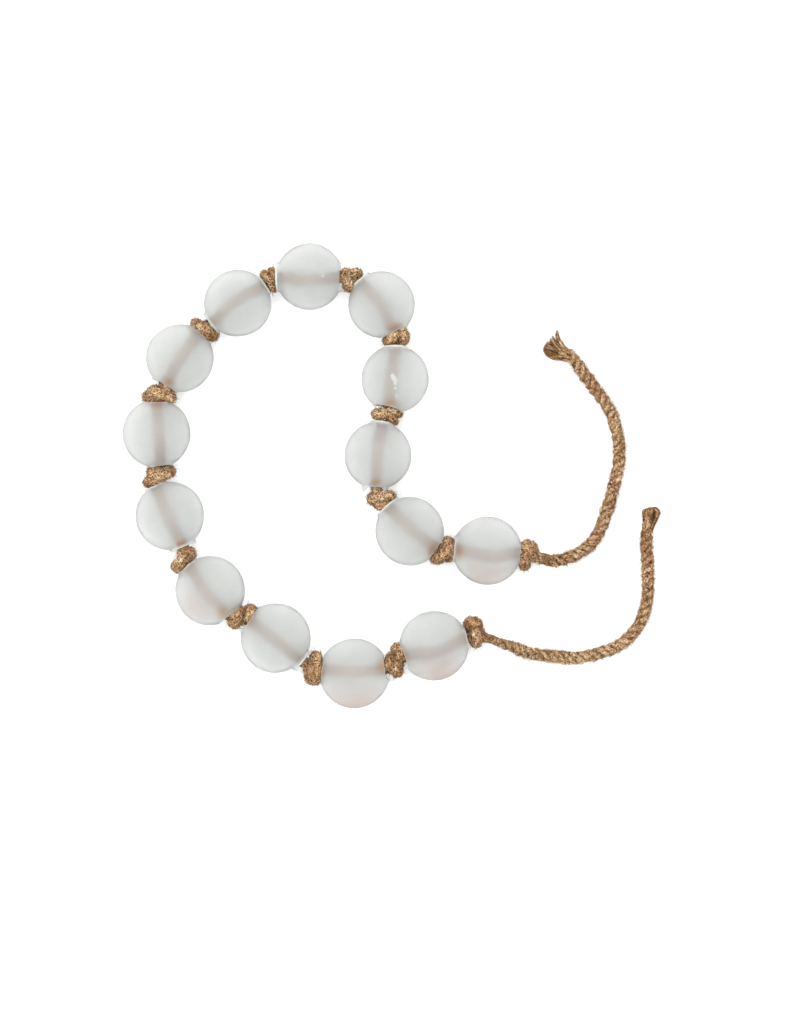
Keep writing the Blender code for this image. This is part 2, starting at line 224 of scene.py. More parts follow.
TAIL_A_ROUTE = (
    (51.5, -59.0, 11.6),
    (58.2, -61.8, 7.8),
    (65.0, -63.3, 4.6),
    (72.0, -64.0, 3.1),
    (82.1, -64.4, 2.9),
    (93.5, -61.8, 2.9),
    (101.5, -58.2, 2.9),
    (108.1, -51.2, 2.9),
    (111.6, -42.8, 2.9),
    (112.9, -33.1, 2.9),
    (112.5, -21.2, 2.9),
    (112.1, -13.7, 2.9),
    (112.5, -5.7, 2.9),
    (114.1, 0.8, 4.3),
)
TAIL_B_ROUTE = (
    (77.0, -20.4, 10.8),
    (83.0, -17.7, 7.0),
    (88.2, -13.4, 4.2),
    (92.2, -6.7, 3.0),
    (96.2, 5.7, 2.9),
    (99.3, 17.6, 2.9),
    (100.2, 28.2, 2.9),
    (98.4, 37.9, 2.9),
    (95.3, 46.3, 2.9),
    (90.0, 53.8, 2.9),
    (83.4, 62.7, 2.9),
    (78.1, 70.2, 3.1),
    (72.6, 74.6, 5.1),
)

# Marks in the glass, in metres: chips in two beads, drawn bright as a painted glint, pink casts, and painted
# shade at the mouths, where the cord shows darker and browner through the wall
GLINT_CHIPS = (
    Spot(-0.0057, 0.0878, 0.0277, 0.0007), Spot(0.0252, 0.0436, 0.0289, 0.0011),
    Spot(0.0258, 0.0420, 0.0289, 0.0012), Spot(0.0263, 0.0404, 0.0289, 0.0009),
    Spot(0.0262, 0.0384, 0.0286, 0.0006), Spot(0.0266, 0.0352, 0.0277, 0.0008),
)
BLUSHES = (
    Spot(0.0455, -0.0850, 0.0210, 0.0150), Spot(0.0080, -0.0975, 0.0200, 0.0160),
    Spot(0.0665, -0.0415, 0.0210, 0.0130), Spot(-0.0600, -0.0560, 0.0220, 0.0110),
)
CORD_SHADES = (
    Spot(0.0304, -0.0796, 0.0221, 0.0050), Spot(0.0205, -0.0834, 0.0235, 0.0060),
    Spot(-0.0060, -0.0862, 0.0215, 0.0045), Spot(-0.0376, -0.0641, 0.0228, 0.0045),
    Spot(-0.0504, -0.0608, 0.0252, 0.0055), Spot(-0.0685, -0.0300, 0.0221, 0.0045),
    Spot(-0.0785, 0.0318, 0.0218, 0.0060), Spot(-0.0733, 0.0412, 0.0242, 0.0045),
    Spot(0.0260, 0.0654, 0.0231, 0.0055), Spot(0.0244, 0.0314, 0.0239, 0.0055),
    Spot(0.0176, -0.0028, 0.0235, 0.0035), Spot(0.0426, -0.0324, 0.0227, 0.0060),
    Spot(0.0542, -0.0340, 0.0233, 0.0055),
)

# Stray fibres and bark, with the thickness and the points in millimetres
STRUNG_STRAYS = (
    Stray("stray_knot_11", Shade.MADDER, 0.34,
          ((1.0, 81.2, 20.4), (2.2, 82.4, 21.0), (3.4, 83.1, 21.2), (4.9, 83.3, 21.3))),
    Stray("stray_knot_14", Shade.PINK, 0.40,
          ((27.0, -11.4, 18.0), (26.8, -14.4, 19.6), (27.4, -17.0, 19.8), (28.8, -19.2, 19.2))),
    Stray("stray_knot_7", Shade.MADDER, 0.55,
          ((-104.4, 49.0, 18.2), (-103.0, 48.5, 19.4), (-101.6, 48.7, 18.9), (-100.4, 49.5, 17.4))),
    Stray("stray_knot_9", Shade.STRAW, 0.34,
          ((-53.6, 98.2, 11.0), (-53.2, 96.6, 11.4), (-52.8, 95.0, 11.6))),
)
TAIL_A_STRAYS = (
    Stray("bark_tail_a_1", Shade.BARK, 0.9,
          ((111.9, -33.2, 5.3), (112.8, -33.9, 5.5), (113.9, -34.9, 5.3))),
    Stray("bark_tail_a_2", Shade.BARK, 0.8,
          ((111.7, -37.9, 5.3), (112.2, -38.4, 5.4), (112.7, -39.0, 5.3))),
)
TAIL_B_STRAYS = (
    Stray("stray_tail_b", Shade.BARK, 0.36,
          ((83.4, -19.0, 6.2), (85.4, -18.2, 6.0), (87.6, -16.7, 6.2))),
    Stray("bark_tail_b", Shade.BARK, 0.8,
          ((79.3, 65.6, 5.4), (79.7, 64.6, 5.5), (80.3, 63.4, 5.4))),
)

# The opened ends, in millimetres
BRUSH_A = (
    BrushPart("brush_a_left", 135, 1.5, 1.7,
              ((112.4, -9.0, 3.0), (112.1, -4.6, 3.0), (111.9, -0.9, 3.2), (111.8, 1.3, 3.5))),
    BrushPart("brush_a_middle", 135, 1.4, 1.9,
              ((113.2, -8.6, 3.4), (113.4, -4.4, 3.7), (113.8, -0.9, 4.2), (114.3, 1.9, 4.7))),
    BrushPart("brush_a_right", 105, 1.1, 1.4,
              ((113.7, -9.0, 3.0), (115.0, -5.3, 3.1), (116.3, -2.2, 3.2), (117.0, 0.3, 3.3))),
    BrushPart("brush_a_hook", 18, 0.4, 0.5,
              ((113.8, 0.6, 5.0), (115.6, 1.9, 5.3), (117.3, 0.9, 5.0), (118.0, -1.2, 4.3))),
)
BRUSH_B = (
    BrushPart("brush_b_point", 120, 1.3, 0.8,
              ((79.0, 68.8, 3.4), (75.4, 72.6, 4.2), (73.3, 76.2, 4.7), (72.5, 79.3, 4.8))),
    BrushPart("brush_b_fan", 120, 1.4, 1.3,
              ((78.6, 68.4, 3.6), (74.4, 71.8, 4.4), (71.6, 74.6, 4.6), (70.2, 76.8, 4.5))),
    BrushPart("brush_b_side", 90, 1.1, 1.0,
              ((78.4, 68.0, 3.2), (73.9, 71.2, 3.6), (70.4, 73.0, 3.6), (68.4, 73.9, 3.4))),
    BrushPart("brush_b_curl", 135, 1.5, 1.0,
              ((79.6, 67.2, 2.6), (75.2, 68.3, 2.7), (71.5, 68.9, 2.7), (68.7, 70.2, 2.8), (67.5, 72.3, 3.1),
               (68.5, 74.2, 3.5))),
    BrushPart("brush_b_under", 75, 1.4, 1.3,
              ((76.0, 70.2, 1.6), (72.6, 71.4, 1.3), (69.0, 72.0, 1.2))),
)

# Fuzz on the strung stretch and on both tails, and how far apart the seeds of its two kinds are
STRUNG_HAIR = Hair(380000.0, 230000.0, 3)
TAIL_A_HAIR = Hair(800000.0, 160000.0, 4)
TAIL_B_HAIR = Hair(800000.0, 160000.0, 5)
SEED_GAP = 10

# Sizes of the chain, in metres
CORD_DIAMETER = 0.0054
CORD_AXIS_HEIGHT = 0.0134
GAP = 0.0003
STRAIGHT_START = 0.0015

# How high the middle of a bead lies over its flat spot, as a share of its radius
FACET_SHARE = 1.018 * math.cos(math.radians(9.0)) * math.cos(math.pi / 14.0)

STRANDS = 3
BORE_STATIONS = 6
FINE_STEPS = 3000


# Small tools


def linear(code: str) -> tuple[float, float, float, float]:
    """Turn an sRGB hex colour into linear light.

    Args:
        code: Six hex digits, with or without a leading hash.

    Returns:
        Red, green, blue and an alpha of one.
    """
    digits = code.lstrip("#")
    out = []
    for i in (0, 2, 4):
        value = int(digits[i:i + 2], 16) / 255.0
        out.append(value / 12.92 if value <= 0.04045 else ((value + 0.055) / 1.055) ** 2.4)
    return (out[0], out[1], out[2], 1.0)


def fill(tree: bpy.types.NodeTree, node: bpy.types.Node, inputs: dict[str | int, Any]) -> None:
    """Set each input of a node, or link it where its value is an output."""
    for socket, value in inputs.items():
        if isinstance(value, bpy.types.NodeSocket):
            tree.links.new(value, node.inputs[socket])
        else:
            node.inputs[socket].default_value = value


def add_node(tree: bpy.types.NodeTree, kind: str, settings: dict[str, Any] | None = None,
             inputs: dict[str | int, Any] | None = None) -> bpy.types.Node:
    """Add a node to a tree, with its settings, and set or link its inputs.

    Args:
        tree: The shader or geometry tree.
        kind: The node's type name.
        settings: Property names and values.
        inputs: Socket names or numbers, each with a value or with the output that feeds it.

    Returns:
        The new node.
    """
    node = tree.nodes.new(kind)
    for name, value in (settings or {}).items():
        setattr(node, name, value)
    fill(tree, node, inputs or {})
    return node


def start_material(name: str) -> tuple[bpy.types.Material, bpy.types.NodeTree, bpy.types.Node]:
    """Return a new material, its tree and its shader."""
    material = bpy.data.materials.new(name)
    material.use_nodes = True
    tree = material.node_tree
    return material, tree, tree.nodes["Principled BSDF"]


def heading_vector(degrees: float | np.ndarray) -> np.ndarray:
    """Return the level unit vector of each heading."""
    angle = np.radians(degrees)
    return np.stack((np.cos(angle), np.sin(angle), 0.0 * angle), axis=-1)


def left_of(directions: np.ndarray) -> np.ndarray:
    """Return the level vector a quarter turn to the left of each direction."""
    return np.stack((-directions[..., 1], directions[..., 0], 0.0 * directions[..., 0]), axis=-1)


def right_of(directions: np.ndarray) -> np.ndarray:
    """Return the level vector a quarter turn to the right of each direction."""
    return -left_of(directions)


def table_points(points: Sequence[Sequence[float]]) -> np.ndarray:
    """Return points of the layout, given in millimetres, where they lie in the scene."""
    return (np.array(points) - MIDDLE) * MM


def unit(vectors: np.ndarray) -> np.ndarray:
    """Return vectors at a length of one."""
    return vectors / np.maximum(np.linalg.norm(vectors, axis=-1, keepdims=True), 1e-12)


def smoothstep(x: np.ndarray) -> np.ndarray:
    """Return a smooth rise from 0 at 0 to 1 at 1."""
    t = np.clip(x, 0.0, 1.0)
    return t * t * (3.0 - 2.0 * t)


def ripple(points: np.ndarray, wavelength: float, seed: int, waves: int = 14,
           frequencies: tuple[float, float] = (0.6, 1.7)) -> np.ndarray:
    """Return an irregular, repeatable relief of about -1 to 1 at some points.

    Args:
        points: Points, the last axis holding x, y and z.
        wavelength: Typical size of a swelling, in the points' unit.
        seed: Seed of the relief.
        waves: Number of waves laid over each other.
        frequencies: Lowest and highest frequency of a wave, where that of the typical size is 1.

    Returns:
        One value for each point.
    """
    rng = np.random.default_rng(seed)
    ways = unit(rng.normal(size=(waves, 3))) * 2.0 * math.pi / wavelength
    ways *= rng.uniform(*frequencies, size=(waves, 1))
    phases = rng.uniform(0.0, 2.0 * math.pi, size=waves)
    total = np.zeros(points.shape[:-1])
    for way, phase in zip(ways, phases):
        total += np.sin(points @ way + phase)
    return total / math.sqrt(waves)


def places_along(path: np.ndarray) -> np.ndarray:
    """Return the place of each point along its path."""
    return np.concatenate(([0.0], np.cumsum(np.linalg.norm(np.diff(path, axis=0), axis=1))))


def even_points(points: Sequence[Sequence[float]], count: int) -> np.ndarray:
    """Spread points evenly along the smooth curve through some route points.

    Args:
        points: Route points; what follows their first three numbers is carried along.
        count: Number of points to return.

    Returns:
        The points, one to a row.
    """
    rows = np.array(points, float)
    last = len(rows) - 1
    place = np.linspace(0.0, last, FINE_STEPS + 1)
    i = np.minimum(place.astype(int), last - 1)
    t = (place - i)[:, None]
    before, start = rows[np.maximum(i - 1, 0)], rows[i]
    end, after = rows[i + 1], rows[np.minimum(i + 2, last)]
    fine = 0.5 * (2.0 * start + (end - before) * t + (2.0 * before - 5.0 * start + 4.0 * end - after) * t ** 2
                  + (3.0 * start - before - 3.0 * end + after) * t ** 3)
    lengths = places_along(fine[:, :3])
    wanted = np.linspace(0.0, lengths[-1], count)
    return np.stack([np.interp(wanted, lengths, fine[:, k]) for k in range(fine.shape[1])], axis=1)


def round_angles(count: int) -> np.ndarray:
    """Return angles spread evenly over a full turn, from 0."""
    return 2.0 * math.pi * np.arange(count) / count


def carried_frames(path: np.ndarray, normal: np.ndarray) -> tuple[np.ndarray, np.ndarray]:
    """Carry a frame along a path without turning it about the path.

    Args:
        path: Points of the centreline.
        normal: Direction that the first frame's normal leans to.

    Returns:
        Normals and binormals.
    """
    tangents = unit(np.gradient(path, axis=0))
    normals = np.zeros_like(path)
    current = normal
    for i, tangent in enumerate(tangents):
        current = unit(current - tangent * float(current @ tangent))
        normals[i] = current
    return normals, np.cross(tangents, normals)


def spokes(angles: np.ndarray, normals: np.ndarray, binormals: np.ndarray) -> np.ndarray:
    """Return the unit vectors from a path to the points of a ring round each of its places."""
    return (np.cos(angles)[None, :, None] * normals[:, None, :]
            + np.sin(angles)[None, :, None] * binormals[:, None, :])


def place_object(name: str, data: bpy.types.ID) -> bpy.types.Object:
    """Put new data in the scene as an object."""
    obj = bpy.data.objects.new(name, data)
    bpy.context.scene.collection.objects.link(obj)
    return obj


def make_object(name: str, vertices: np.ndarray, faces: list[tuple[int, ...]],
                materials: Sequence[bpy.types.Material]) -> bpy.types.Object:
    """Make a smooth-shaded mesh object and put it in the scene.

    Args:
        name: The piece's name.
        vertices: Points, one to a row.
        faces: Corner numbers of each face, pointing outwards.
        materials: Materials of the piece's slots.

    Returns:
        The new object, at the origin.
    """
    mesh = bpy.data.meshes.new(name)
    mesh.from_pydata(vertices.tolist(), [], faces)
    mesh.update()
    mesh.shade_smooth()
    for material in materials:
        mesh.materials.append(material)
    return place_object(name, mesh)


def store(obj: bpy.types.Object, name: str, values: np.ndarray) -> None:
    """Keep one number for each vertex of a piece under a name."""
    attribute = obj.data.attributes.new(name, "FLOAT", "POINT")
    attribute.data.foreach_set("value", values.astype(np.float32).ravel())


def ring_faces(rings: int, sides: int, closed: bool) -> list[tuple[int, ...]]:
    """Return the four-cornered faces between rings of points.

    Args:
        rings: Number of rings.
        sides: Points in each ring.
        closed: Whether the last ring joins the first.

    Returns:
        The faces, ring by ring.
    """
    faces = []
    for i in range(rings if closed else rings - 1):
        near, far = i * sides, ((i + 1) % rings) * sides
        for j in range(sides):
            k = (j + 1) % sides
            faces.append((near + j, near + k, far + k, far + j))
    return faces


def settle(obj: bpy.types.Object, slot: Slot, *nodes: str) -> None:
    """Let a finished piece ride and stand for its solids."""
    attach(obj, ROOT)
    if nodes:
        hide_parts(*nodes)
    log.info("%s: %d faces", obj.name, len(obj.data.polygons))


# Finishes


class Pattern(NamedTuple):
    """A noise pattern: the size of its patches in metres, and how fine, rough and distorted it is."""

    size: float
    detail: float = 2.0
    roughness: float = 0.5
    distortion: float = 0.0

    def sockets(self) -> dict[str, float]:
        """Return the pattern as the values of a noise node."""
        return {"Scale": 1.0 / self.size, "Detail": self.detail, "Roughness": self.roughness,
                "Distortion": self.distortion}


class Span(NamedTuple):
    """How the values of a pattern between low and high turn into values from start to end."""

    low: float
    high: float
    start: float = 0.0
    end: float = 1.0

    def sockets(self) -> dict[str, float]:
        """Return the span as the values of a range node."""
        return {"From Min": self.low, "From Max": self.high, "To Min": self.start, "To Max": self.end}


class Relief(NamedTuple):
    """How strongly a pattern stands in relief, and how high in metres."""

    strength: float
    height: float

    def sockets(self) -> dict[str, float]:
        """Return the relief as the values of a bump node."""
        return {"Strength": self.strength, "Distance": self.height}


@dataclass(frozen=True)
class FrostedGlass:
    """Recycled soda-lime glass, blown and then etched in acid: a milky, grey-green satin skin."""

    tint: str = "#E8E9E8"
    cloud: str = "#C6C7C7"
    blush: str = "#CBB8B1"
    # Tint of the painted shade where the cord shows through the wall at the mouths
    cord_shade: str = "#D3BEA9"
    # Colour of the chips, which with their low clearness below makes a painted glint
    glint_chip: str = "#B8BCB9"
    # Soda-lime glass has 1.52; a thin etched wall hardly bends the view of the cord, as if it had less
    ior: float = 1.10
    transmission: float = 0.67
    # How clear the chips are: low, for their painted glint
    glint_chip_transmission: float = 0.22
    bloom: float = 0.08
    bloom_roughness: float = 0.3
    clouds: Pattern = Pattern(14.0 * MM, 8.0, 0.7)
    grain: Pattern = Pattern(0.7 * MM, 2.0, 0.6)
    ragged: Pattern = Pattern(1.1 * MM, 3.0, 0.7)
    grain_share: float = 0.4
    roughness: Span = Span(0.3, 0.7, 0.76, 0.80)
    relief: Relief = Relief(0.25, 0.08 * MM)
    # Width of the edge of a soft place and of a chip's painted glint, and the chip's ragged reach and limit,
    # in radii
    soft_edge: float = 1.0
    glint_chip_edge: float = 0.15
    ragged_reach: float = 3.2
    ragged_limit: float = 2.6

    def build(self, name: str, glint_chips: Sequence[Spot], blushes: Sequence[Spot],
              cord_shades: Sequence[Spot]) -> bpy.types.Material:
        """Build the glass.

        Args:
            name: The material's name.
            glint_chips: Chips in the skin, drawn as a painted glint.
            blushes: Faintly pink places.
            cord_shades: Places at the mouths, tinted brown: painted shade where the cord lies close under the
                wall.

        Returns:
            The material.
        """
        material, tree, shader = start_material(name)
        coords = add_node(tree, "ShaderNodeTexCoord").outputs["Object"]
        clouds, grain, ragged = (
            add_node(tree, "ShaderNodeTexNoise", None, {"Vector": coords, **pattern.sockets()}).outputs["Fac"]
            for pattern in (self.clouds, self.grain, self.ragged))
        mottle = add_node(tree, "ShaderNodeMix", {"data_type": "FLOAT"}, {
            "Factor": self.grain_share, 2: clouds, 3: grain}).outputs[0]
        pink = self.mask(tree, coords, blushes, self.soft_edge, None)
        # Painted shade at the mouths, where the cord lies close under the wall
        brown = self.mask(tree, coords, cord_shades, self.soft_edge, None)
        # Chips drawn less clear than the skin, so that they look bright: a painted glint
        white = self.mask(tree, coords, glint_chips, self.glint_chip_edge, ragged)
        skin: Any = linear(self.tint)
        layers = (mottle, self.cloud), (pink, self.blush), (brown, self.cord_shade), (white, self.glint_chip)
        for share, colour in layers:
            skin = add_node(tree, "ShaderNodeMix", {"data_type": "RGBA"}, {
                "Factor": share, 6: skin, 7: linear(colour)}).outputs[2]
        rough = add_node(tree, "ShaderNodeMapRange", None, {"Value": grain, **self.roughness.sockets()})
        clear = add_node(tree, "ShaderNodeMix", {"data_type": "FLOAT"}, {
            "Factor": white, 2: self.transmission, 3: self.glint_chip_transmission})
        bump = add_node(tree, "ShaderNodeBump", None, {"Height": grain, **self.relief.sockets()})
        fill(tree, shader, {
            "Base Color": skin, "Roughness": rough.outputs["Result"], "Transmission Weight": clear.outputs[0],
            "Normal": bump.outputs["Normal"], "IOR": self.ior, "Metallic": 0.0, "Sheen Weight": self.bloom,
            "Sheen Roughness": self.bloom_roughness})
        return material

    def mask(self, tree: bpy.types.NodeTree, coords: bpy.types.NodeSocket, spots: Sequence[Spot],
             softness: float, ragged: bpy.types.NodeSocket | None) -> bpy.types.NodeSocket:
        """Return the mask of some spots, 1 inside them and 0 outside.

        Args:
            tree: The material's tree.
            coords: Object coordinates.
            spots: The spots.
            softness: Width of a spot's edge, as a share of its radius.
            ragged: Noise that makes the edge ragged, or nothing for a smooth one.

        Returns:
            The mask's output.
        """
        total = None
        for spot in spots:
            away = add_node(tree, "ShaderNodeVectorMath", {"operation": "DISTANCE"}, {0: coords, 1: spot[:3]})
            place, edge = away.outputs["Value"], spot.radius
            if ragged is not None:
                place = add_node(tree, "ShaderNodeMath", {"operation": "MULTIPLY_ADD"}, {
                    0: ragged, 1: self.ragged_reach * spot.radius, 2: place}).outputs[0]
                edge = self.ragged_limit * spot.radius
            fall = Span(edge - softness * spot.radius, edge, 1.0, 0.0)
            value = add_node(tree, "ShaderNodeMapRange", {"interpolation_type": "SMOOTHSTEP"}, {
                "Value": place, **fall.sockets()}).outputs["Result"]
            if total is not None:
                value = add_node(tree, "ShaderNodeMath", {"operation": "MAXIMUM"}, {
                    0: total, 1: value}).outputs[0]
            total = value
        return total


@dataclass(frozen=True)
class BareGlass:
    """The same glass where the acid did not reach it, inside a bead, and where it broke, at the mouths."""

    colour: str
    ior: float
    roughness: float
    transmission: float
    waves: Pattern
    relief: Relief

    def build(self, name: str) -> bpy.types.Material:
        """Build the glass under a name."""
        material, tree, shader = start_material(name)
        coords = add_node(tree, "ShaderNodeTexCoord").outputs["Object"]
        waves = add_node(tree, "ShaderNodeTexNoise", None, {"Vector": coords, **self.waves.sockets()})
        bump = add_node(tree, "ShaderNodeBump", None, {
            "Height": waves.outputs["Fac"], **self.relief.sockets()})
        fill(tree, shader, {
            "Normal": bump.outputs["Normal"], "Base Color": linear(self.colour), "IOR": self.ior,
            "Roughness": self.roughness, "Transmission Weight": self.transmission})
        return material


# The broken and ground edge of a mouth, drawn whiter and brighter than the etched skin: partly the ground
# glass itself, partly a painted highlight along its thin rim
BROKEN_RIM_AND_HIGHLIGHT = BareGlass("#CBD2CF", 1.5, 0.35, 0.2, Pattern(0.9 * MM), Relief(0.5, 0.2 * MM))
# The inside of a bead is smooth and clear, with a low index like the etched skin's, so the cord shows unbent
INNER_SKIN = BareGlass("#FBFDFA", 1.06, 0.06, 1.0, Pattern(7.0 * MM), Relief(0.15, 0.4 * MM))


@dataclass(frozen=True)
class JuteFibre:
    """Raw jute, spun and laid in three strands: dry, matt, fibrous, with darker shives in it."""

    pale: str = "#E7D7BA"
    mid: str = "#B38451"
    dark: str = "#391902"
    rust: str = "#97592A"
    shive: str = "#20150F"
    by_fibre: bool = False
    ior: float = 1.5
    gloss: float = 0.05
    roughness: float = 0.92
    relief: Relief = Relief(0.6, 0.4 * MM)
    # Real fibre bundles are about 0.1 mm wide, too fine for the picture, so they are drawn 0.36 mm wide
    fibre_width: float = 0.36 * MM
    fibre_length: float = 1.1 * MM
    # The fibres' pattern is one patch to a fibre, in the stretched lay of the cord
    fibres: Pattern = Pattern(1.0, 3.0, 0.7, 0.9)
    speckles: Pattern = Pattern(0.5 * MM, 2.0, 0.7)
    speckle_share: float = 0.4
    tones: Pattern = Pattern(8.0 * MM)
    tufts: Pattern = Pattern(3.2 * MM, 1.0)
    shaded_gaps: Pattern = Pattern(0.75 * MM, 2.0, 0.6, 0.6)
    flecks: Pattern = Pattern(1.4 * MM, 1.0)
    # Where the dark, the mid and the pale tone lie in the mixed pattern
    low: float = 0.41
    middle: float = 0.48
    high: float = 0.58
    # What the patterns do to the tone: a share of another colour, or how much light is left
    rusty: Span = Span(0.42, 0.66, 0.0, 0.4)
    tufted: Span = Span(0.34, 0.66, 0.84, 1.04)
    faded: Span = Span(0.36, 0.64, 1.04, 0.82)
    # Painted shade: darker where the fibres part, by the gap pattern
    opened: Span = Span(0.52, 0.60, 0.0, 0.88)
    # Painted shade in the cord's grooves, from the groove attribute
    painted_groove_shade: Span = Span(0.0, 1.0, 0.0, 0.75)
    flecked: Span = Span(0.68, 0.74)

    def build(self, name: str) -> bpy.types.Material:
        """Build the jute under a name."""
        material, tree, shader = start_material(name)
        lay = add_node(tree, "ShaderNodeUVMap", {"uv_map": "lay"}).outputs["UV"]
        coords = add_node(tree, "ShaderNodeTexCoord").outputs["Object"]
        stretched = add_node(tree, "ShaderNodeMapping", None, {
            "Vector": lay, "Scale": (1.0 / self.fibre_width, 1.0 / self.fibre_length, 1.0)}).outputs["Vector"]
        fibres, speckles, tones, tufts, shaded_gaps, flecks = (
            add_node(tree, "ShaderNodeTexNoise", None, {"Vector": place, **pattern.sockets()}).outputs["Fac"]
            for place, pattern in (
                (stretched, self.fibres), (coords, self.speckles), (coords, self.tones),
                (coords, self.tufts), (coords, self.shaded_gaps), (coords, self.flecks)))
        blend = add_node(tree, "ShaderNodeMix", {"data_type": "FLOAT"}, {
            "Factor": self.speckle_share, 2: fibres, 3: speckles}).outputs[0]
        if self.by_fibre:
            tone = add_node(tree, "ShaderNodeAttribute", {"attribute_name": "tone"}).outputs["Fac"]
            spread = add_node(tree, "ShaderNodeMath", {"operation": "SUBTRACT"}, {0: blend, 1: 0.5})
            blend = add_node(tree, "ShaderNodeMath", {"operation": "ADD"}, {
                0: tone, 1: spread.outputs[0]}).outputs[0]
        ramp = add_node(tree, "ShaderNodeValToRGB", None, {"Fac": blend})
        stops = ramp.color_ramp.elements
        stops[0].position, stops[0].color = self.low, linear(self.dark)
        stops[1].position, stops[1].color = self.high, linear(self.pale)
        stops.new(self.middle).color = linear(self.mid)
        # The groove attribute is painted shade: in the grooves, and evenly on the cord inside the beads
        groove = add_node(tree, "ShaderNodeAttribute", {"attribute_name": "groove"}).outputs["Fac"]
        skin = ramp.outputs["Color"]
        changes = (
            (tones, self.rusty, self.rust),
            (tufts, self.tufted, None),
            (tones, self.faded, None),
            (shaded_gaps, self.opened, self.dark),
            (groove, self.painted_groove_shade, self.dark),
            (flecks, self.flecked, self.shive),
        )
        for value, span, colour in changes:
            amount = add_node(tree, "ShaderNodeMapRange", None, {
                "Value": value, **span.sockets()}).outputs["Result"]
            mode, factor, other = "MULTIPLY", 1.0, amount
            if colour is not None:
                mode, factor, other = "MIX", amount, linear(colour)
            skin = add_node(tree, "ShaderNodeMix", {"data_type": "RGBA", "blend_type": mode}, {
                "Factor": factor, 6: skin, 7: other}).outputs[2]
        bump = add_node(tree, "ShaderNodeBump", None, {"Height": blend, **self.relief.sockets()})
        fill(tree, shader, {
            "Base Color": skin, "Normal": bump.outputs["Normal"], "IOR": self.ior, "Metallic": 0.0,
            "Roughness": self.roughness, "Specular IOR Level": self.gloss})
        return material


@dataclass(frozen=True)
class DyedFibre:
    """A single stray fibre or chip of bark in its own colour, matt and faintly mottled."""

    colour: str
    roughness: float = 0.85
    mottle: Pattern = Pattern(1.2 * MM)
    mottle_share: float = 0.5

    def build(self, name: str) -> bpy.types.Material:
        """Build the fibre's material under a name."""
        material, tree, shader = start_material(name)
        coords = add_node(tree, "ShaderNodeTexCoord").outputs["Object"]
        mottle = add_node(tree, "ShaderNodeTexNoise", None, {"Vector": coords, **self.mottle.sockets()})
        mixed = add_node(tree, "ShaderNodeMix", {"data_type": "RGBA", "blend_type": "MULTIPLY"}, {
            "Factor": self.mottle_share, 6: linear(self.colour), 7: mottle.outputs["Color"]})
        fill(tree, shader, {"Base Color": mixed.outputs[2], "Roughness": self.roughness})
        return material


# The chain that the cord follows


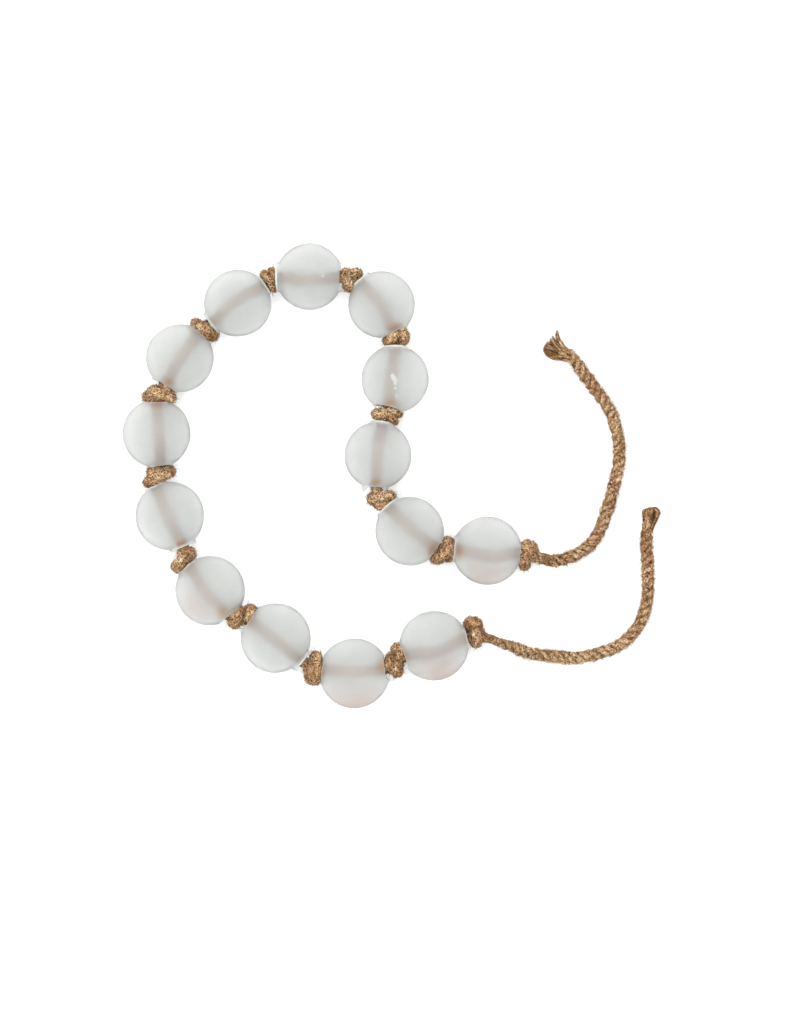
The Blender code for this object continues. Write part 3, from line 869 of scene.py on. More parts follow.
@dataclass(frozen=True)
class Chain:
    """Cross planes of the strung stretch: place along the straight cord, middle and left of each."""

    along: np.ndarray
    middles: np.ndarray
    lefts: np.ndarray

    @staticmethod
    def bead_centre(bead: BeadPlan) -> np.ndarray:
        """Return the middle of a bead that rests on its small flat spot."""
        return table_points((bead.x, bead.y, 0.0)) + bead.radius * MM * FACET_SHARE * UP

    @classmethod
    def mouth_point(cls, bead: BeadPlan, mouth: Mouth) -> np.ndarray:
        """Return the middle of a mouth at the cord's height, a gap clear of its rim."""
        place = cls.bead_centre(bead) + (mouth.reach * MM + GAP) * heading_vector(mouth.heading)
        return np.array((place[0], place[1], CORD_AXIS_HEIGHT))

    @staticmethod
    def knot_length(knot: KnotPlan) -> float:
        """Return the length of a knot along the straight cord."""
        return 2.0 * KNOT_HALF_LENGTH * knot.pitch * MM

    @classmethod
    def bore(cls, bead: BeadPlan, along: float) -> list[tuple[float, np.ndarray, np.ndarray]]:
        """Return the cross planes from mouth A to mouth B of a bead, without the first.

        Args:
            bead: The bead.
            along: Place of mouth A along the straight cord.

        Returns:
            Place, middle and left of each plane.
        """
        start, end = cls.mouth_point(bead, bead.a), cls.mouth_point(bead, bead.b)
        ahead_a, ahead_b = heading_vector(bead.a.heading + 180.0), heading_vector(bead.b.heading)
        span = float(np.linalg.norm(end - start))
        rows, last = [], start
        for step in range(1, BORE_STATIONS + 1):
            t = step / BORE_STATIONS
            place = ((2 * t ** 3 - 3 * t ** 2 + 1) * start + (t ** 3 - 2 * t ** 2 + t) * span * ahead_a
                     + (3 * t ** 2 - 2 * t ** 3) * end + (t ** 3 - t ** 2) * span * ahead_b)
            along += float(np.linalg.norm(place - last))
            last = place
            slope = ((6 * t ** 2 - 6 * t) * (start - end) + (3 * t ** 2 - 4 * t + 1) * span * ahead_a
                     + (3 * t ** 2 - 2 * t) * span * ahead_b)
            rows.append((along, place, left_of(unit(slope))))
        return rows

    @classmethod
    def end_plane(cls, knot: KnotPlan, bead: BeadPlan, mouth: Mouth,
                  heading: float) -> tuple[np.ndarray, np.ndarray]:
        """Return the middle and the left of the plane on the free side of an end knot."""
        near = cls.mouth_point(bead, mouth)
        mean = heading_vector((mouth.heading + heading) / 2.0)
        return near + cls.knot_length(knot) * mean, left_of(heading_vector(heading))

    @classmethod
    def laid_out(cls) -> "Chain":
        """Return the whole chain, from end knot A to end knot B."""
        first, last = BEADS[0], BEADS[-1]
        middle, left = cls.end_plane(KNOTS[0], first, first.a, END_HEADING_A)
        rows = [(0.0, middle, -left)]
        along = 0.0
        for knot, bead in zip(KNOTS, BEADS):
            along += cls.knot_length(knot)
            into = heading_vector(bead.a.heading + 180.0)
            rows.append((along, cls.mouth_point(bead, bead.a), left_of(into)))
            rows += cls.bore(bead, along)
            along = rows[-1][0]
        along += cls.knot_length(KNOTS[-1])
        middle, left = cls.end_plane(KNOTS[-1], last, last.b, END_HEADING_B)
        rows.append((along, middle, left))
        return cls(*(np.array(column) for column in zip(*rows)))

    def laid(self, points: np.ndarray) -> np.ndarray:
        """Lay points of the straight cord along the chain.

        Args:
            points: Points with the cord's length on x, its left on y and up on z.

        Returns:
            The points where they lie in the garland.
        """
        x = points[..., 0]
        inside = np.clip(x, self.along[0], self.along[-1])
        i = np.clip(np.searchsorted(self.along, inside) - 1, 0, len(self.along) - 2)
        share = ((inside - self.along[i]) / (self.along[i + 1] - self.along[i]))[..., None]
        middle = self.middles[i] * (1.0 - share) + self.middles[i + 1] * share
        left = self.lefts[i] * (1.0 - share) + self.lefts[i + 1] * share
        beyond = (x - inside)[..., None] * right_of(left)
        return middle + beyond + points[..., 1:2] * left + points[..., 2:3] * UP

    def knot_middle(self, k: int) -> float:
        """Return the place of a knot's middle along the straight cord."""
        return float(self.along[k * (BORE_STATIONS + 1)]) + self.knot_length(KNOTS[k]) / 2.0


# The cord


@dataclass(frozen=True)
class ThreeStrandLay:
    """How the cord is made: three strands laid right-handed, with soft fibrous crowns."""

    lay: float = 11.4 * MM
    groove: float = 0.30
    # The crowns' shape, and how strong and how sharp the painted shade in a groove is
    crown: float = 1.3
    shade: float = 1.25
    shade_sharpness: float = 1.6
    # Relief of the fibres and of the lumps, in radii, the size of both, and the waves in each
    fibre_relief: float = 0.06
    fibre_size: float = 1.3 * MM
    fibre_waves: int = 22
    lump_relief: float = 0.05
    lump_size: float = 6.0 * MM
    lump_waves: int = 10

    def turns(self, along: np.ndarray) -> np.ndarray:
        """Return how far the strands have turned at each place along the cord, in radians."""
        return 2.0 * math.pi * along / self.lay

    def rings(self, path: np.ndarray, radius: np.ndarray, normals: np.ndarray, binormals: np.ndarray,
              twist: np.ndarray, sides: int, seed: int, deep: float = 1.0) -> tuple[np.ndarray, np.ndarray]:
        """Sweep the three-strand section along a path.

        Args:
            path: Points of the centreline.
            radius: Radius over the strands' crowns at each point.
            normals: Normal at each point.
            binormals: Binormal at each point.
            twist: Turn of the strands at each point, in radians.
            sides: Points in each ring.
            seed: Seed of the relief.
            deep: How deep the grooves are and how dark their painted shade is, 1 for the usual depth.

        Returns:
            The rings, and the painted shade of the grooves at each of their points, from 0 to 1.
        """
        angles = round_angles(sides)
        depth = 1.0 - np.abs(np.cos(STRANDS / 2.0 * (angles[None, :] - twist[:, None])))
        out = spokes(angles, normals, binormals)
        skin = path[:, None, :] + CORD_DIAMETER / 2.0 * out
        fibre = ripple(skin, self.fibre_size, seed, self.fibre_waves)
        lumps = ripple(skin, self.lump_size, seed + 1, self.lump_waves)
        size = (1.0 - self.groove * deep * depth ** self.crown + self.fibre_relief * fibre
                + self.lump_relief * lumps)
        rings = path[:, None, :] + (radius[:, None] * size)[..., None] * out
        return rings, np.clip(self.shade * depth ** self.shade_sharpness * deep, 0.0, 1.0)


class RopeMesh:
    """Gathers swept stretches of cord in one mesh, with the layer that its fibres follow and the painted
    shade of its grooves.
    """

    def __init__(self) -> None:
        """Start with no stretches."""
        self.points: list[np.ndarray] = []
        self.faces: list[tuple[int, ...]] = []
        self.corners: list[np.ndarray] = []
        self.groove: list[np.ndarray] = []
        self.fuzz: list[np.ndarray] = []
        self.count = 0

    def add(self, rings: np.ndarray, along: np.ndarray, groove: np.ndarray, fuzz: np.ndarray,
            closed: bool) -> None:
        """Add a stretch.

        Args:
            rings: Its points, ring by ring.
            along: Place of each ring along it.
            groove: Painted shade of the groove at each point, 0 to 1.
            fuzz: How hairy it is at each ring, 0 to 1.
            closed: Whether it runs round into itself.
        """
        count, sides = rings.shape[:2]
        self.faces += [tuple(self.count + v for v in face) for face in ring_faces(count, sides, closed)]
        step = math.pi * CORD_DIAMETER / sides
        i, j = np.meshgrid(np.arange(count if closed else count - 1), np.arange(sides), indexing="ij")
        near = along[i]
        far = np.append(along, along[-1] + along[1] - along[0])[i + 1]
        layer = np.stack((j * step, near, (j + 1) * step, near, (j + 1) * step, far, j * step, far), axis=-1)
        self.corners.append(layer.ravel())
        if not closed:
            self.faces.append(tuple(range(self.count + sides - 1, self.count - 1, -1)))
            self.faces.append(tuple(range(self.count + (count - 1) * sides, self.count + count * sides)))
            self.corners.append(np.zeros(4 * sides))
        self.points.append(rings.reshape(-1, 3))
        self.groove.append(groove.ravel())
        self.fuzz.append(np.repeat(fuzz, sides))
        self.count += count * sides

    def add_fibre(self, line: np.ndarray, thickness: float, sides: int, taper: float = 0.7) -> None:
        """Add one loose fibre, a thin tube.

        Args:
            line: Points of the fibre.
            thickness: Its thickness in the middle.
            sides: Points in each of its rings.
            taper: How much thinner its ends are, as a share.
        """
        share = np.linspace(0.0, 1.0, len(line))
        radius = thickness / 2.0 * (1.0 - taper * np.abs(2.0 * share - 1.0) ** 3)
        out = spokes(round_angles(sides), *carried_frames(line, UP))
        rings = line[:, None, :] + radius[:, None, None] * out
        self.add(rings, places_along(line), np.zeros((len(line), sides)), np.zeros(len(line)), False)

    def finish(self, name: str, material: bpy.types.Material) -> bpy.types.Object:
        """Return the piece with its material."""
        obj = make_object(name, np.concatenate(self.points), self.faces, (material,))
        layer = obj.data.uv_layers.new(name="lay")
        layer.data.foreach_set("uv", np.concatenate(self.corners).astype(np.float32))
        store(obj, "groove", np.concatenate(self.groove))
        store(obj, "fuzz", np.concatenate(self.fuzz))
        return obj


@dataclass
class StrungCord:
    """The stretch of the cord that carries the beads, with a knot beside each of them."""

    chain: Chain
    lay: ThreeStrandLay
    step: float = 0.9 * MM
    core_sides: int = 28
    core_seed: int = 11
    # The turns of the knots: their rings, the points that one is measured by, the first one's seed, and how
    # many seeds each knot has
    wrap_step: float = 0.5 * MM
    wrap_sides: int = 32
    fine_turn: int = 721
    wrap_seed: int = 100
    knot_seeds: int = 10
    # Half the height of a turn of the usual thickness, how much of a thinner one's slack is added to it,
    # how far it varies, and how much lower each turn lies than the one over it
    knot_height: float = 4.6 * MM
    slack: float = 0.25
    height_spread: float = 0.2 * MM
    order_drop: float = 0.5 * MM
    shortest_half: float = 0.5 * MM
    # How far a turn may lean, in radians, how much it swells, how deep its grooves are, and how dark their
    # painted shade is
    lean: float = 0.22
    swell: float = 0.05
    wrap_depth: float = 0.5
    wrap_shade: float = 0.8
    # How far a turn's strands and its swellings may be shifted round, in radians
    strand_shift: float = 2.0
    swell_shift: float = 6.0
    # The lead to tail A thins towards its cut face
    lead_thinning: float = 0.24
    lead_thinning_length: float = 14.0 * MM
    # How dark the painted shade on the cord inside the beads is, and over how many knot pitches it and the
    # fuzz change there
    bore_shade: float = 0.52
    fade: float = 0.3

    def core(self) -> np.ndarray:
        """Return the straight centreline, which swings sideways and lifts inside some beads."""
        start = self.chain.knot_middle(0) - LEAD_START * KNOTS[0].pitch * MM - GAP
        end = self.chain.knot_middle(len(KNOTS) - 1) + LEAD_START * KNOTS[-1].pitch * MM + GAP
        x = np.linspace(start, end, int((end - start) / self.step))
        y, z = np.zeros_like(x), np.zeros_like(x)
        for k, bead in enumerate(BEADS):
            near = self.chain.along[k * (BORE_STATIONS + 1) + 1]
            far = self.chain.along[(k + 1) * (BORE_STATIONS + 1)]
            share = np.clip((x - near) / (far - near), 0.0, 1.0)
            bow = np.sin(math.pi * share) ** 2
            y += bead.swing * MM * bow
            z += bead.lift * MM * bow
        return np.stack((x, y, z), axis=-1)

    def shown(self, x: np.ndarray) -> np.ndarray:
        """Return how far each place of the straight cord is outside the beads, 0 to 1."""
        away = np.full(x.shape, np.inf)
        for k in range(len(KNOTS)):
            away = np.minimum(away, np.abs(x - self.chain.knot_middle(k)) / (KNOTS[k].pitch * MM))
        return 1.0 - smoothstep((away - 1.0) / self.fade)

    def add_core(self, mesh: RopeMesh) -> tuple[np.ndarray, float]:
        """Add the cord that runs through beads and knots.

        Args:
            mesh: The mesh to add to.

        Returns:
            The normal and the turn of the strands at its far end.
        """
        path = self.core()
        normals, binormals = carried_frames(path, np.array((0.0, 1.0, 0.0)))
        along = places_along(path)
        twist = self.lay.turns(along)
        thin = 1.0 - self.lead_thinning * (1.0 - smoothstep(along / self.lead_thinning_length))
        radius = np.full(len(path), CORD_DIAMETER / 2.0) * thin
        rings, groove = self.lay.rings(
            path, radius, normals, binormals, twist, self.core_sides, self.core_seed)
        fuzz = self.shown(path[:, 0])
        # Inside the beads the grooves' painted shade gives way to an even painted shade
        groove = groove * fuzz[:, None] + self.bore_shade * (1.0 - fuzz[:, None])
        mesh.add(self.chain.laid(rings), along, groove, fuzz, False)
        left = self.chain.lefts[-1]
        normal = normals[-1]
        return normal[0] * right_of(left) + normal[1] * left + normal[2] * UP, float(twist[-1])

    def add_wrap(self, mesh: RopeMesh, knot: KnotPlan, order: int, seed: int) -> None:
        """Add one turn of a knot, a closed loop round the cord.

        Args:
            mesh: The mesh to add to.
            knot: The knot.
            order: Which of its turns.
            seed: Seed of its lean and relief.
        """
        rng = np.random.default_rng(seed)
        wrap = knot.wraps[order]
        turn_ends = np.array(((wrap.x1, wrap.y1, 0.0), (wrap.x2, wrap.y2, 0.0)))
        ends = table_points(turn_ends + (knot.x, knot.y, 0.0))
        across = ends[1] - ends[0]
        half = max(float(np.linalg.norm(across)) / 2.0, self.shortest_half)
        across = unit(across)
        lean = rng.uniform(-self.lean, self.lean)
        rise = UP * math.cos(lean) + left_of(across) * math.sin(lean)
        thickness = wrap.thickness * MM
        height = self.knot_height + self.slack * (CORD_DIAMETER - thickness)
        height += rng.uniform(-self.height_spread, self.height_spread)
        middle = ends.mean(axis=0) + (CORD_AXIS_HEIGHT + self.order_drop * (1 - order)) * UP
        fine = np.linspace(0.0, 2.0 * math.pi, self.fine_turn) - math.pi / 2.0
        axes = np.array((half * across, height * rise))
        places = places_along(np.stack((np.cos(fine), np.sin(fine)), axis=-1) @ axes)
        count = int(places[-1] / self.wrap_step)
        along = np.linspace(0.0, places[-1], count + 1)[:-1]
        angle = np.interp(along, places, fine)
        path = middle + np.stack((np.cos(angle), np.sin(angle)), axis=-1) @ axes
        tangents = unit(np.stack((-np.sin(angle), np.cos(angle)), axis=-1) @ axes)
        normals = np.broadcast_to(np.cross(across, rise), path.shape)
        turns = max(1, round(STRANDS * places[-1] / self.lay.lay)) / STRANDS
        twist = turns * round_angles(count) + rng.uniform(0.0, self.strand_shift)
        swell = 1.0 + self.swell * np.sin(2.0 * angle + rng.uniform(0.0, self.swell_shift))
        rings, groove = self.lay.rings(
            path, thickness / 2.0 * swell, normals, np.cross(tangents, normals), twist, self.wrap_sides, seed,
            self.wrap_depth)
        mesh.add(rings, along, groove * self.wrap_shade, np.ones(count), True)

    def build(self, material: bpy.types.Material) -> tuple[bpy.types.Object, np.ndarray, float]:
        """Build the strung stretch.

        Args:
            material: The jute.

        Returns:
            The piece, and the normal and the turn of the strands at its far end.
        """
        mesh = RopeMesh()
        normal, turn = self.add_core(mesh)
        for k, knot in enumerate(KNOTS):
            for order in range(len(knot.wraps)):
                self.add_wrap(mesh, knot, order, self.wrap_seed + self.knot_seeds * k + order)
        return mesh.finish("jute_strung", material), normal, turn


@dataclass
class FreeTail:
    """One free end of the cord, which drops from its end knot and lies on the table."""

    name: str
    route: Sequence[tuple[float, float, float]]
    # Radius of its end, as a share, and how much thinner it leaves its knot
    tip_share: float
    thinning: float
    lay: ThreeStrandLay
    seed: int
    opened_length: float
    tip_length: float = 9.0 * MM
    thinning_length: float = 14.0 * MM
    step: float = 0.42 * MM
    sides: int = 40
    # How dark the painted shade in its grooves is away from the knot, and the last rings' size, which rounds
    # its end
    shade: float = 0.75
    end_rings: tuple[float, ...] = (0.97, 0.88, 0.6)

    def path(self, chain: Chain, end: int) -> np.ndarray:
        """Return the centreline from the cut face of the strung stretch to the tip.

        Args:
            chain: The chain.
            end: 0 for the start of the chain and -1 for its far end.

        Returns:
            Points, one to a row.
        """
        left = chain.lefts[end] * (-1.0 if end == 0 else 1.0)
        ahead = right_of(left)
        lead = (LEAD_START - KNOT_HALF_LENGTH) * KNOTS[end].pitch * MM
        start = chain.middles[end] + (lead + GAP) * ahead
        places = np.vstack((start + STRAIGHT_START * ahead, table_points(self.route)))
        count = int(places_along(places)[-1] / self.step)
        whole = np.concatenate((start[None, :], even_points(places, count)))
        return whole[:len(whole) - int(self.opened_length / self.step)]

    def build(self, chain: Chain, end: int, normal: np.ndarray, turn: float,
              material: bpy.types.Material) -> tuple[bpy.types.Object, np.ndarray]:
        """Build the tail's three-strand body, up to where its strands open.

        Args:
            chain: The chain.
            end: 0 for the start of the chain and -1 for its far end.
            normal: The normal that its strands start from.
            turn: The strands' turn at its start.
            material: The jute.

        Returns:
            The piece and its centreline.
        """
        path = self.path(chain, end)
        along = places_along(path)
        normals, binormals = carried_frames(path, normal)
        twist = turn + self.lay.turns(along)
        opened = smoothstep((along - along[-1] + self.tip_length) / self.tip_length)
        start = 1.0 - smoothstep(along / self.thinning_length)
        tip = 1.0 + (self.tip_share - 1.0) * opened
        radius = CORD_DIAMETER / 2.0 * tip * (1.0 - self.thinning * start)
        radius[-len(self.end_rings):] *= self.end_rings
        rings, groove = self.lay.rings(path, radius, normals, binormals, twist, self.sides, self.seed)
        mesh = RopeMesh()
        groove = groove * (self.shade + (1.0 - self.shade) * start[:, None])
        mesh.add(rings, along, groove, np.ones(len(path)), False)
        return mesh.finish(self.name, material), path


class Bend(Enum):
    """Start, middle and end of one loose fibre, in its own length, with z off the cord."""

    STANDING = ((0.0, 0.0, -0.08), (0.10, 0.0, 0.55), (0.62, 0.12, 0.72))
    LYING = ((-0.5, 0.0, -0.06), (0.0, 0.34, 0.30), (0.5, -0.08, -0.02))


@dataclass
class Fuzz:
    """Loose fibres on the cord, scattered over it by Geometry Nodes."""

    name: str
    density: float
    length: float
    seed: int
    bend: Bend
    thickness: float
    lean: float
    # The shortest and longest fibre, in lengths, the darkest and palest tone, and the gap to the table
    shortest: float = 0.35
    longest: float = 1.7
    darkest: float = 0.38
    palest: float = 0.62
    table_gap: float = 0.02 * MM
    # Straight stretches along a fibre, and sides round it
    stretches: int = 3
    sides: int = 3

    def tree(self, material: bpy.types.Material) -> bpy.types.NodeTree:
        """Return the tree that grows a bent hair on random points of a surface.

        Args:
            material: The fibres' material.

        Returns:
            The tree, with named inputs for density, length, thickness and seed.
        """
        tree = bpy.data.node_groups.new(self.name + "_growth", "GeometryNodeTree")
        face = tree.interface
        face.new_socket("Geometry", in_out="INPUT", socket_type="NodeSocketGeometry")
        for label in ("Density", "Length", "Thickness"):
            face.new_socket(label, in_out="INPUT", socket_type="NodeSocketFloat")
        face.new_socket("Seed", in_out="INPUT", socket_type="NodeSocketInt")
        face.new_socket("Geometry", in_out="OUTPUT", socket_type="NodeSocketGeometry")
        given = add_node(tree, "NodeGroupInput").outputs
        fuzz = add_node(tree, "GeometryNodeInputNamedAttribute", {"data_type": "FLOAT"}, {"Name": "fuzz"})
        dense = add_node(tree, "ShaderNodeMath", {"operation": "MULTIPLY"}, {
            0: fuzz.outputs["Attribute"], 1: given["Density"]})
        points = add_node(tree, "GeometryNodeDistributePointsOnFaces", {"distribute_method": "RANDOM"}, {
            "Mesh": given["Geometry"], "Density": dense.outputs[0], "Seed": given["Seed"]})
        start, middle, end = self.bend.value
        hair = add_node(tree, "GeometryNodeCurveQuadraticBezier", None, {
            "Resolution": self.stretches, "Start": start, "Middle": middle, "End": end})
        profile = add_node(tree, "GeometryNodeCurvePrimitiveCircle", {"mode": "RADIUS"}, {
            "Resolution": self.sides, "Radius": given["Thickness"]})
        size = add_node(tree, "FunctionNodeRandomValue", {"data_type": "FLOAT"}, {
            2: self.shortest, 3: self.longest, "Seed": given["Seed"]})
        length = add_node(tree, "ShaderNodeMath", {"operation": "MULTIPLY"}, {
            0: size.outputs[1], 1: given["Length"]})
        lean = add_node(tree, "FunctionNodeRandomValue", {"data_type": "FLOAT_VECTOR"}, {
            0: (-self.lean, -self.lean, -math.pi), 1: (self.lean, self.lean, math.pi), "Seed": given["Seed"]})
        turn = add_node(tree, "FunctionNodeEulerToRotation", None, {0: lean.outputs[0]})
        turned = add_node(tree, "FunctionNodeRotateRotation", {"rotation_space": "LOCAL"}, {
            "Rotation": points.outputs["Rotation"], "Rotate By": turn.outputs[0]})
        grown = add_node(tree, "GeometryNodeTransform", None, {"Geometry": hair.outputs["Curve"]})
        placed = add_node(tree, "GeometryNodeInstanceOnPoints", None, {
            "Points": points.outputs["Points"], "Instance": grown.outputs["Geometry"],
            "Rotation": turned.outputs[0], "Scale": length.outputs[0]})
        tone = add_node(tree, "FunctionNodeRandomValue", {"data_type": "FLOAT"}, {
            2: self.darkest, 3: self.palest, "Seed": given["Seed"]})
        toned = add_node(tree, "GeometryNodeStoreNamedAttribute", {
            "data_type": "FLOAT", "domain": "INSTANCE"}, {
            "Geometry": placed.outputs["Instances"], "Name": "tone", "Value": tone.outputs[1]})
        real = add_node(tree, "GeometryNodeRealizeInstances", None, {"Geometry": toned.outputs["Geometry"]})
        tubes = add_node(tree, "GeometryNodeCurveToMesh", None, {
            "Curve": real.outputs["Geometry"], "Profile Curve": profile.outputs["Curve"], "Fill Caps": True})
        dressed = add_node(tree, "GeometryNodeSetMaterial", None, {
            "Geometry": tubes.outputs["Mesh"], "Material": material})
        add_node(tree, "NodeGroupOutput", None, {"Geometry": dressed.outputs["Geometry"]})
        return tree

    def build(self, ground: bpy.types.Object, material: bpy.types.Material) -> bpy.types.Object:
        """Grow the fuzz on a piece of cord.

        Args:
            ground: The piece it grows on, with a fuzz attribute.
            material: The fibres' material.

        Returns:
            The fuzz, as a mesh of its own.
        """
        carrier = place_object(self.name + "_carrier", ground.data)
        modifier = carrier.modifiers.new("Growth", "NODES")
        modifier.node_group = self.tree(material)
        wanted = {"Density": self.density, "Length": self.length, "Thickness": self.thickness / 2.0,
                  "Seed": self.seed}
        for item in modifier.node_group.interface.items_tree:
            if item.in_out == "INPUT" and item.name in wanted:
                modifier[item.identifier] = wanted[item.name]
        bpy.context.view_layer.update()
        evaluated = carrier.evaluated_get(bpy.context.evaluated_depsgraph_get())
        mesh = bpy.data.meshes.new_from_object(evaluated)
        mesh.name = self.name
        places = np.zeros(3 * len(mesh.vertices), np.float32)
        mesh.vertices.foreach_get("co", places)
        places[2::3] = np.maximum(places[2::3], self.table_gap)
        mesh.vertices.foreach_set("co", places)
        tree = modifier.node_group
        bpy.data.objects.remove(carrier, do_unlink=True)
        bpy.data.node_groups.remove(tree)
        return place_object(self.name, mesh)


@dataclass
class FibreBundle:
    """One lock of an opened cord end: a matted heart along a route, with loose fibres round it."""

    part: BrushPart
    seed: int
    thickness: float = 0.22 * MM
    points: int = 9
    fibre_sides: int = 3
    rings: int = 26
    sides: int = 20
    # The heart: its share of the bundle, its rounded ends, the strips along it, and its tones, painted
    # lighter on the strips' crests and with painted shade in their dips
    heart_share: float = 0.92
    end_slope: float = 14.0
    end_share: float = 0.35
    strip_turns: float = 3.0
    strip_width: float = 1.1
    strip_waves: int = 20
    strip_relief: float = 0.18
    strip_shade: float = 0.6
    heart_tone: float = 0.465
    heart_tone_spread: float = 0.09
    heart_table_gap: float = 0.1 * MM
    # The fibres: how near the heart's middle one starts, how far it wanders at each point, how far its tip
    # goes on, how thick it is, from how many points it is cut, and its fewest points
    nearest: float = 0.55
    wander: float = 0.09 * MM
    tip_steps: tuple[float, float] = (0.1, 0.9)
    thick_range: tuple[float, float] = (0.6, 1.2)
    cut_points: int = 40
    fewest_points: int = 12
    darkest: float = 0.38
    palest: float = 0.57
    fibre_table_gap: float = 0.2 * MM

    def spread(self, share: np.ndarray) -> np.ndarray:
        """Return the bundle's radius at shares of its length."""
        start, end = self.part.start_radius * MM, self.part.end_radius * MM
        return start + (end - start) * smoothstep(share)

    def heart(self, mesh: RopeMesh) -> np.ndarray:
        """Add the matted heart to a mesh and return its tones, painted lighter on its strips and with painted
        shade in the dips between them.
        """
        path = even_points(table_points(self.part.route), self.rings)
        share = np.linspace(0.0, 1.0, self.rings)
        out = spokes(round_angles(self.sides), *carried_frames(path, UP))
        ends = np.clip(np.minimum(share, 1.0 - share) * self.end_slope + self.end_share, 0.0, 1.0)
        radius = self.spread(share) * self.heart_share * ends
        strips = ripple(out * self.strip_turns + share[:, None, None], self.strip_width, self.seed,
                        self.strip_waves)
        rings = path[:, None, :] + (radius[:, None] * (1.0 + self.strip_relief * strips))[..., None] * out
        rings[..., 2] = np.maximum(rings[..., 2], self.heart_table_gap)
        groove = np.clip(-self.strip_shade * strips, 0.0, 1.0)
        mesh.add(rings, places_along(path), groove, np.zeros(self.rings), False)
        return self.heart_tone + self.heart_tone_spread * strips

    def build(self, material: bpy.types.Material) -> bpy.types.Object:
        """Build the heart and its fibres, each fibre a thin tapering tube.

        Args:
            material: The loose jute.

        Returns:
            The bundle.
        """
        rng = np.random.default_rng(self.seed)
        path = even_points(table_points(self.part.route), self.points)
        normals, binormals = carried_frames(path, UP)
        spread = self.spread(np.linspace(0.0, 1.0, self.points))
        mesh = RopeMesh()
        tones = [self.heart(mesh).ravel()]
        for _ in range(self.part.fibres):
            angle, away = rng.uniform(0.0, 2.0 * math.pi), rng.uniform(self.nearest, 1.0)
            wander = np.cumsum(rng.normal(0.0, self.wander, size=(self.points, 3)), axis=0)
            line = (path + (spread * away * math.cos(angle))[:, None] * normals
                    + (spread * away * math.sin(angle))[:, None] * binormals + wander)
            tip = line[-1] + (line[-1] - line[-2]) * rng.uniform(*self.tip_steps)
            line = even_points(np.vstack((line, tip)), self.cut_points)
            first, last = sorted(rng.integers(0, self.cut_points, 2))
            line = even_points(line[first:max(last, first + self.fewest_points)], self.points)
            line[:, 2] = np.maximum(line[:, 2], self.fibre_table_gap)
            mesh.add_fibre(line, self.thickness * rng.uniform(*self.thick_range), self.fibre_sides)
            tones.append(np.full(self.fibre_sides * self.points, rng.uniform(self.darkest, self.palest)))
        obj = mesh.finish(self.part.name, material)
        store(obj, "tone", np.concatenate(tones))
        return obj


@dataclass
class StrayFibres:
    """Makes the stray fibres, one dyed material to a shade."""

    made: dict[Shade, bpy.types.Material]
    points: int = 14
    sides: int = 6

    def build(self, stray: Stray) -> bpy.types.Object:
        """Build one stray fibre as a thin tapering tube."""
        if stray.shade not in self.made:
            self.made[stray.shade] = DyedFibre(stray.shade.value).build("fibre_" + stray.shade.name.lower())
        mesh = RopeMesh()
        mesh.add_fibre(even_points(table_points(stray.points), self.points), stray.thickness * MM, self.sides)
        return mesh.finish(stray.name, self.made[stray.shade])


# The beads


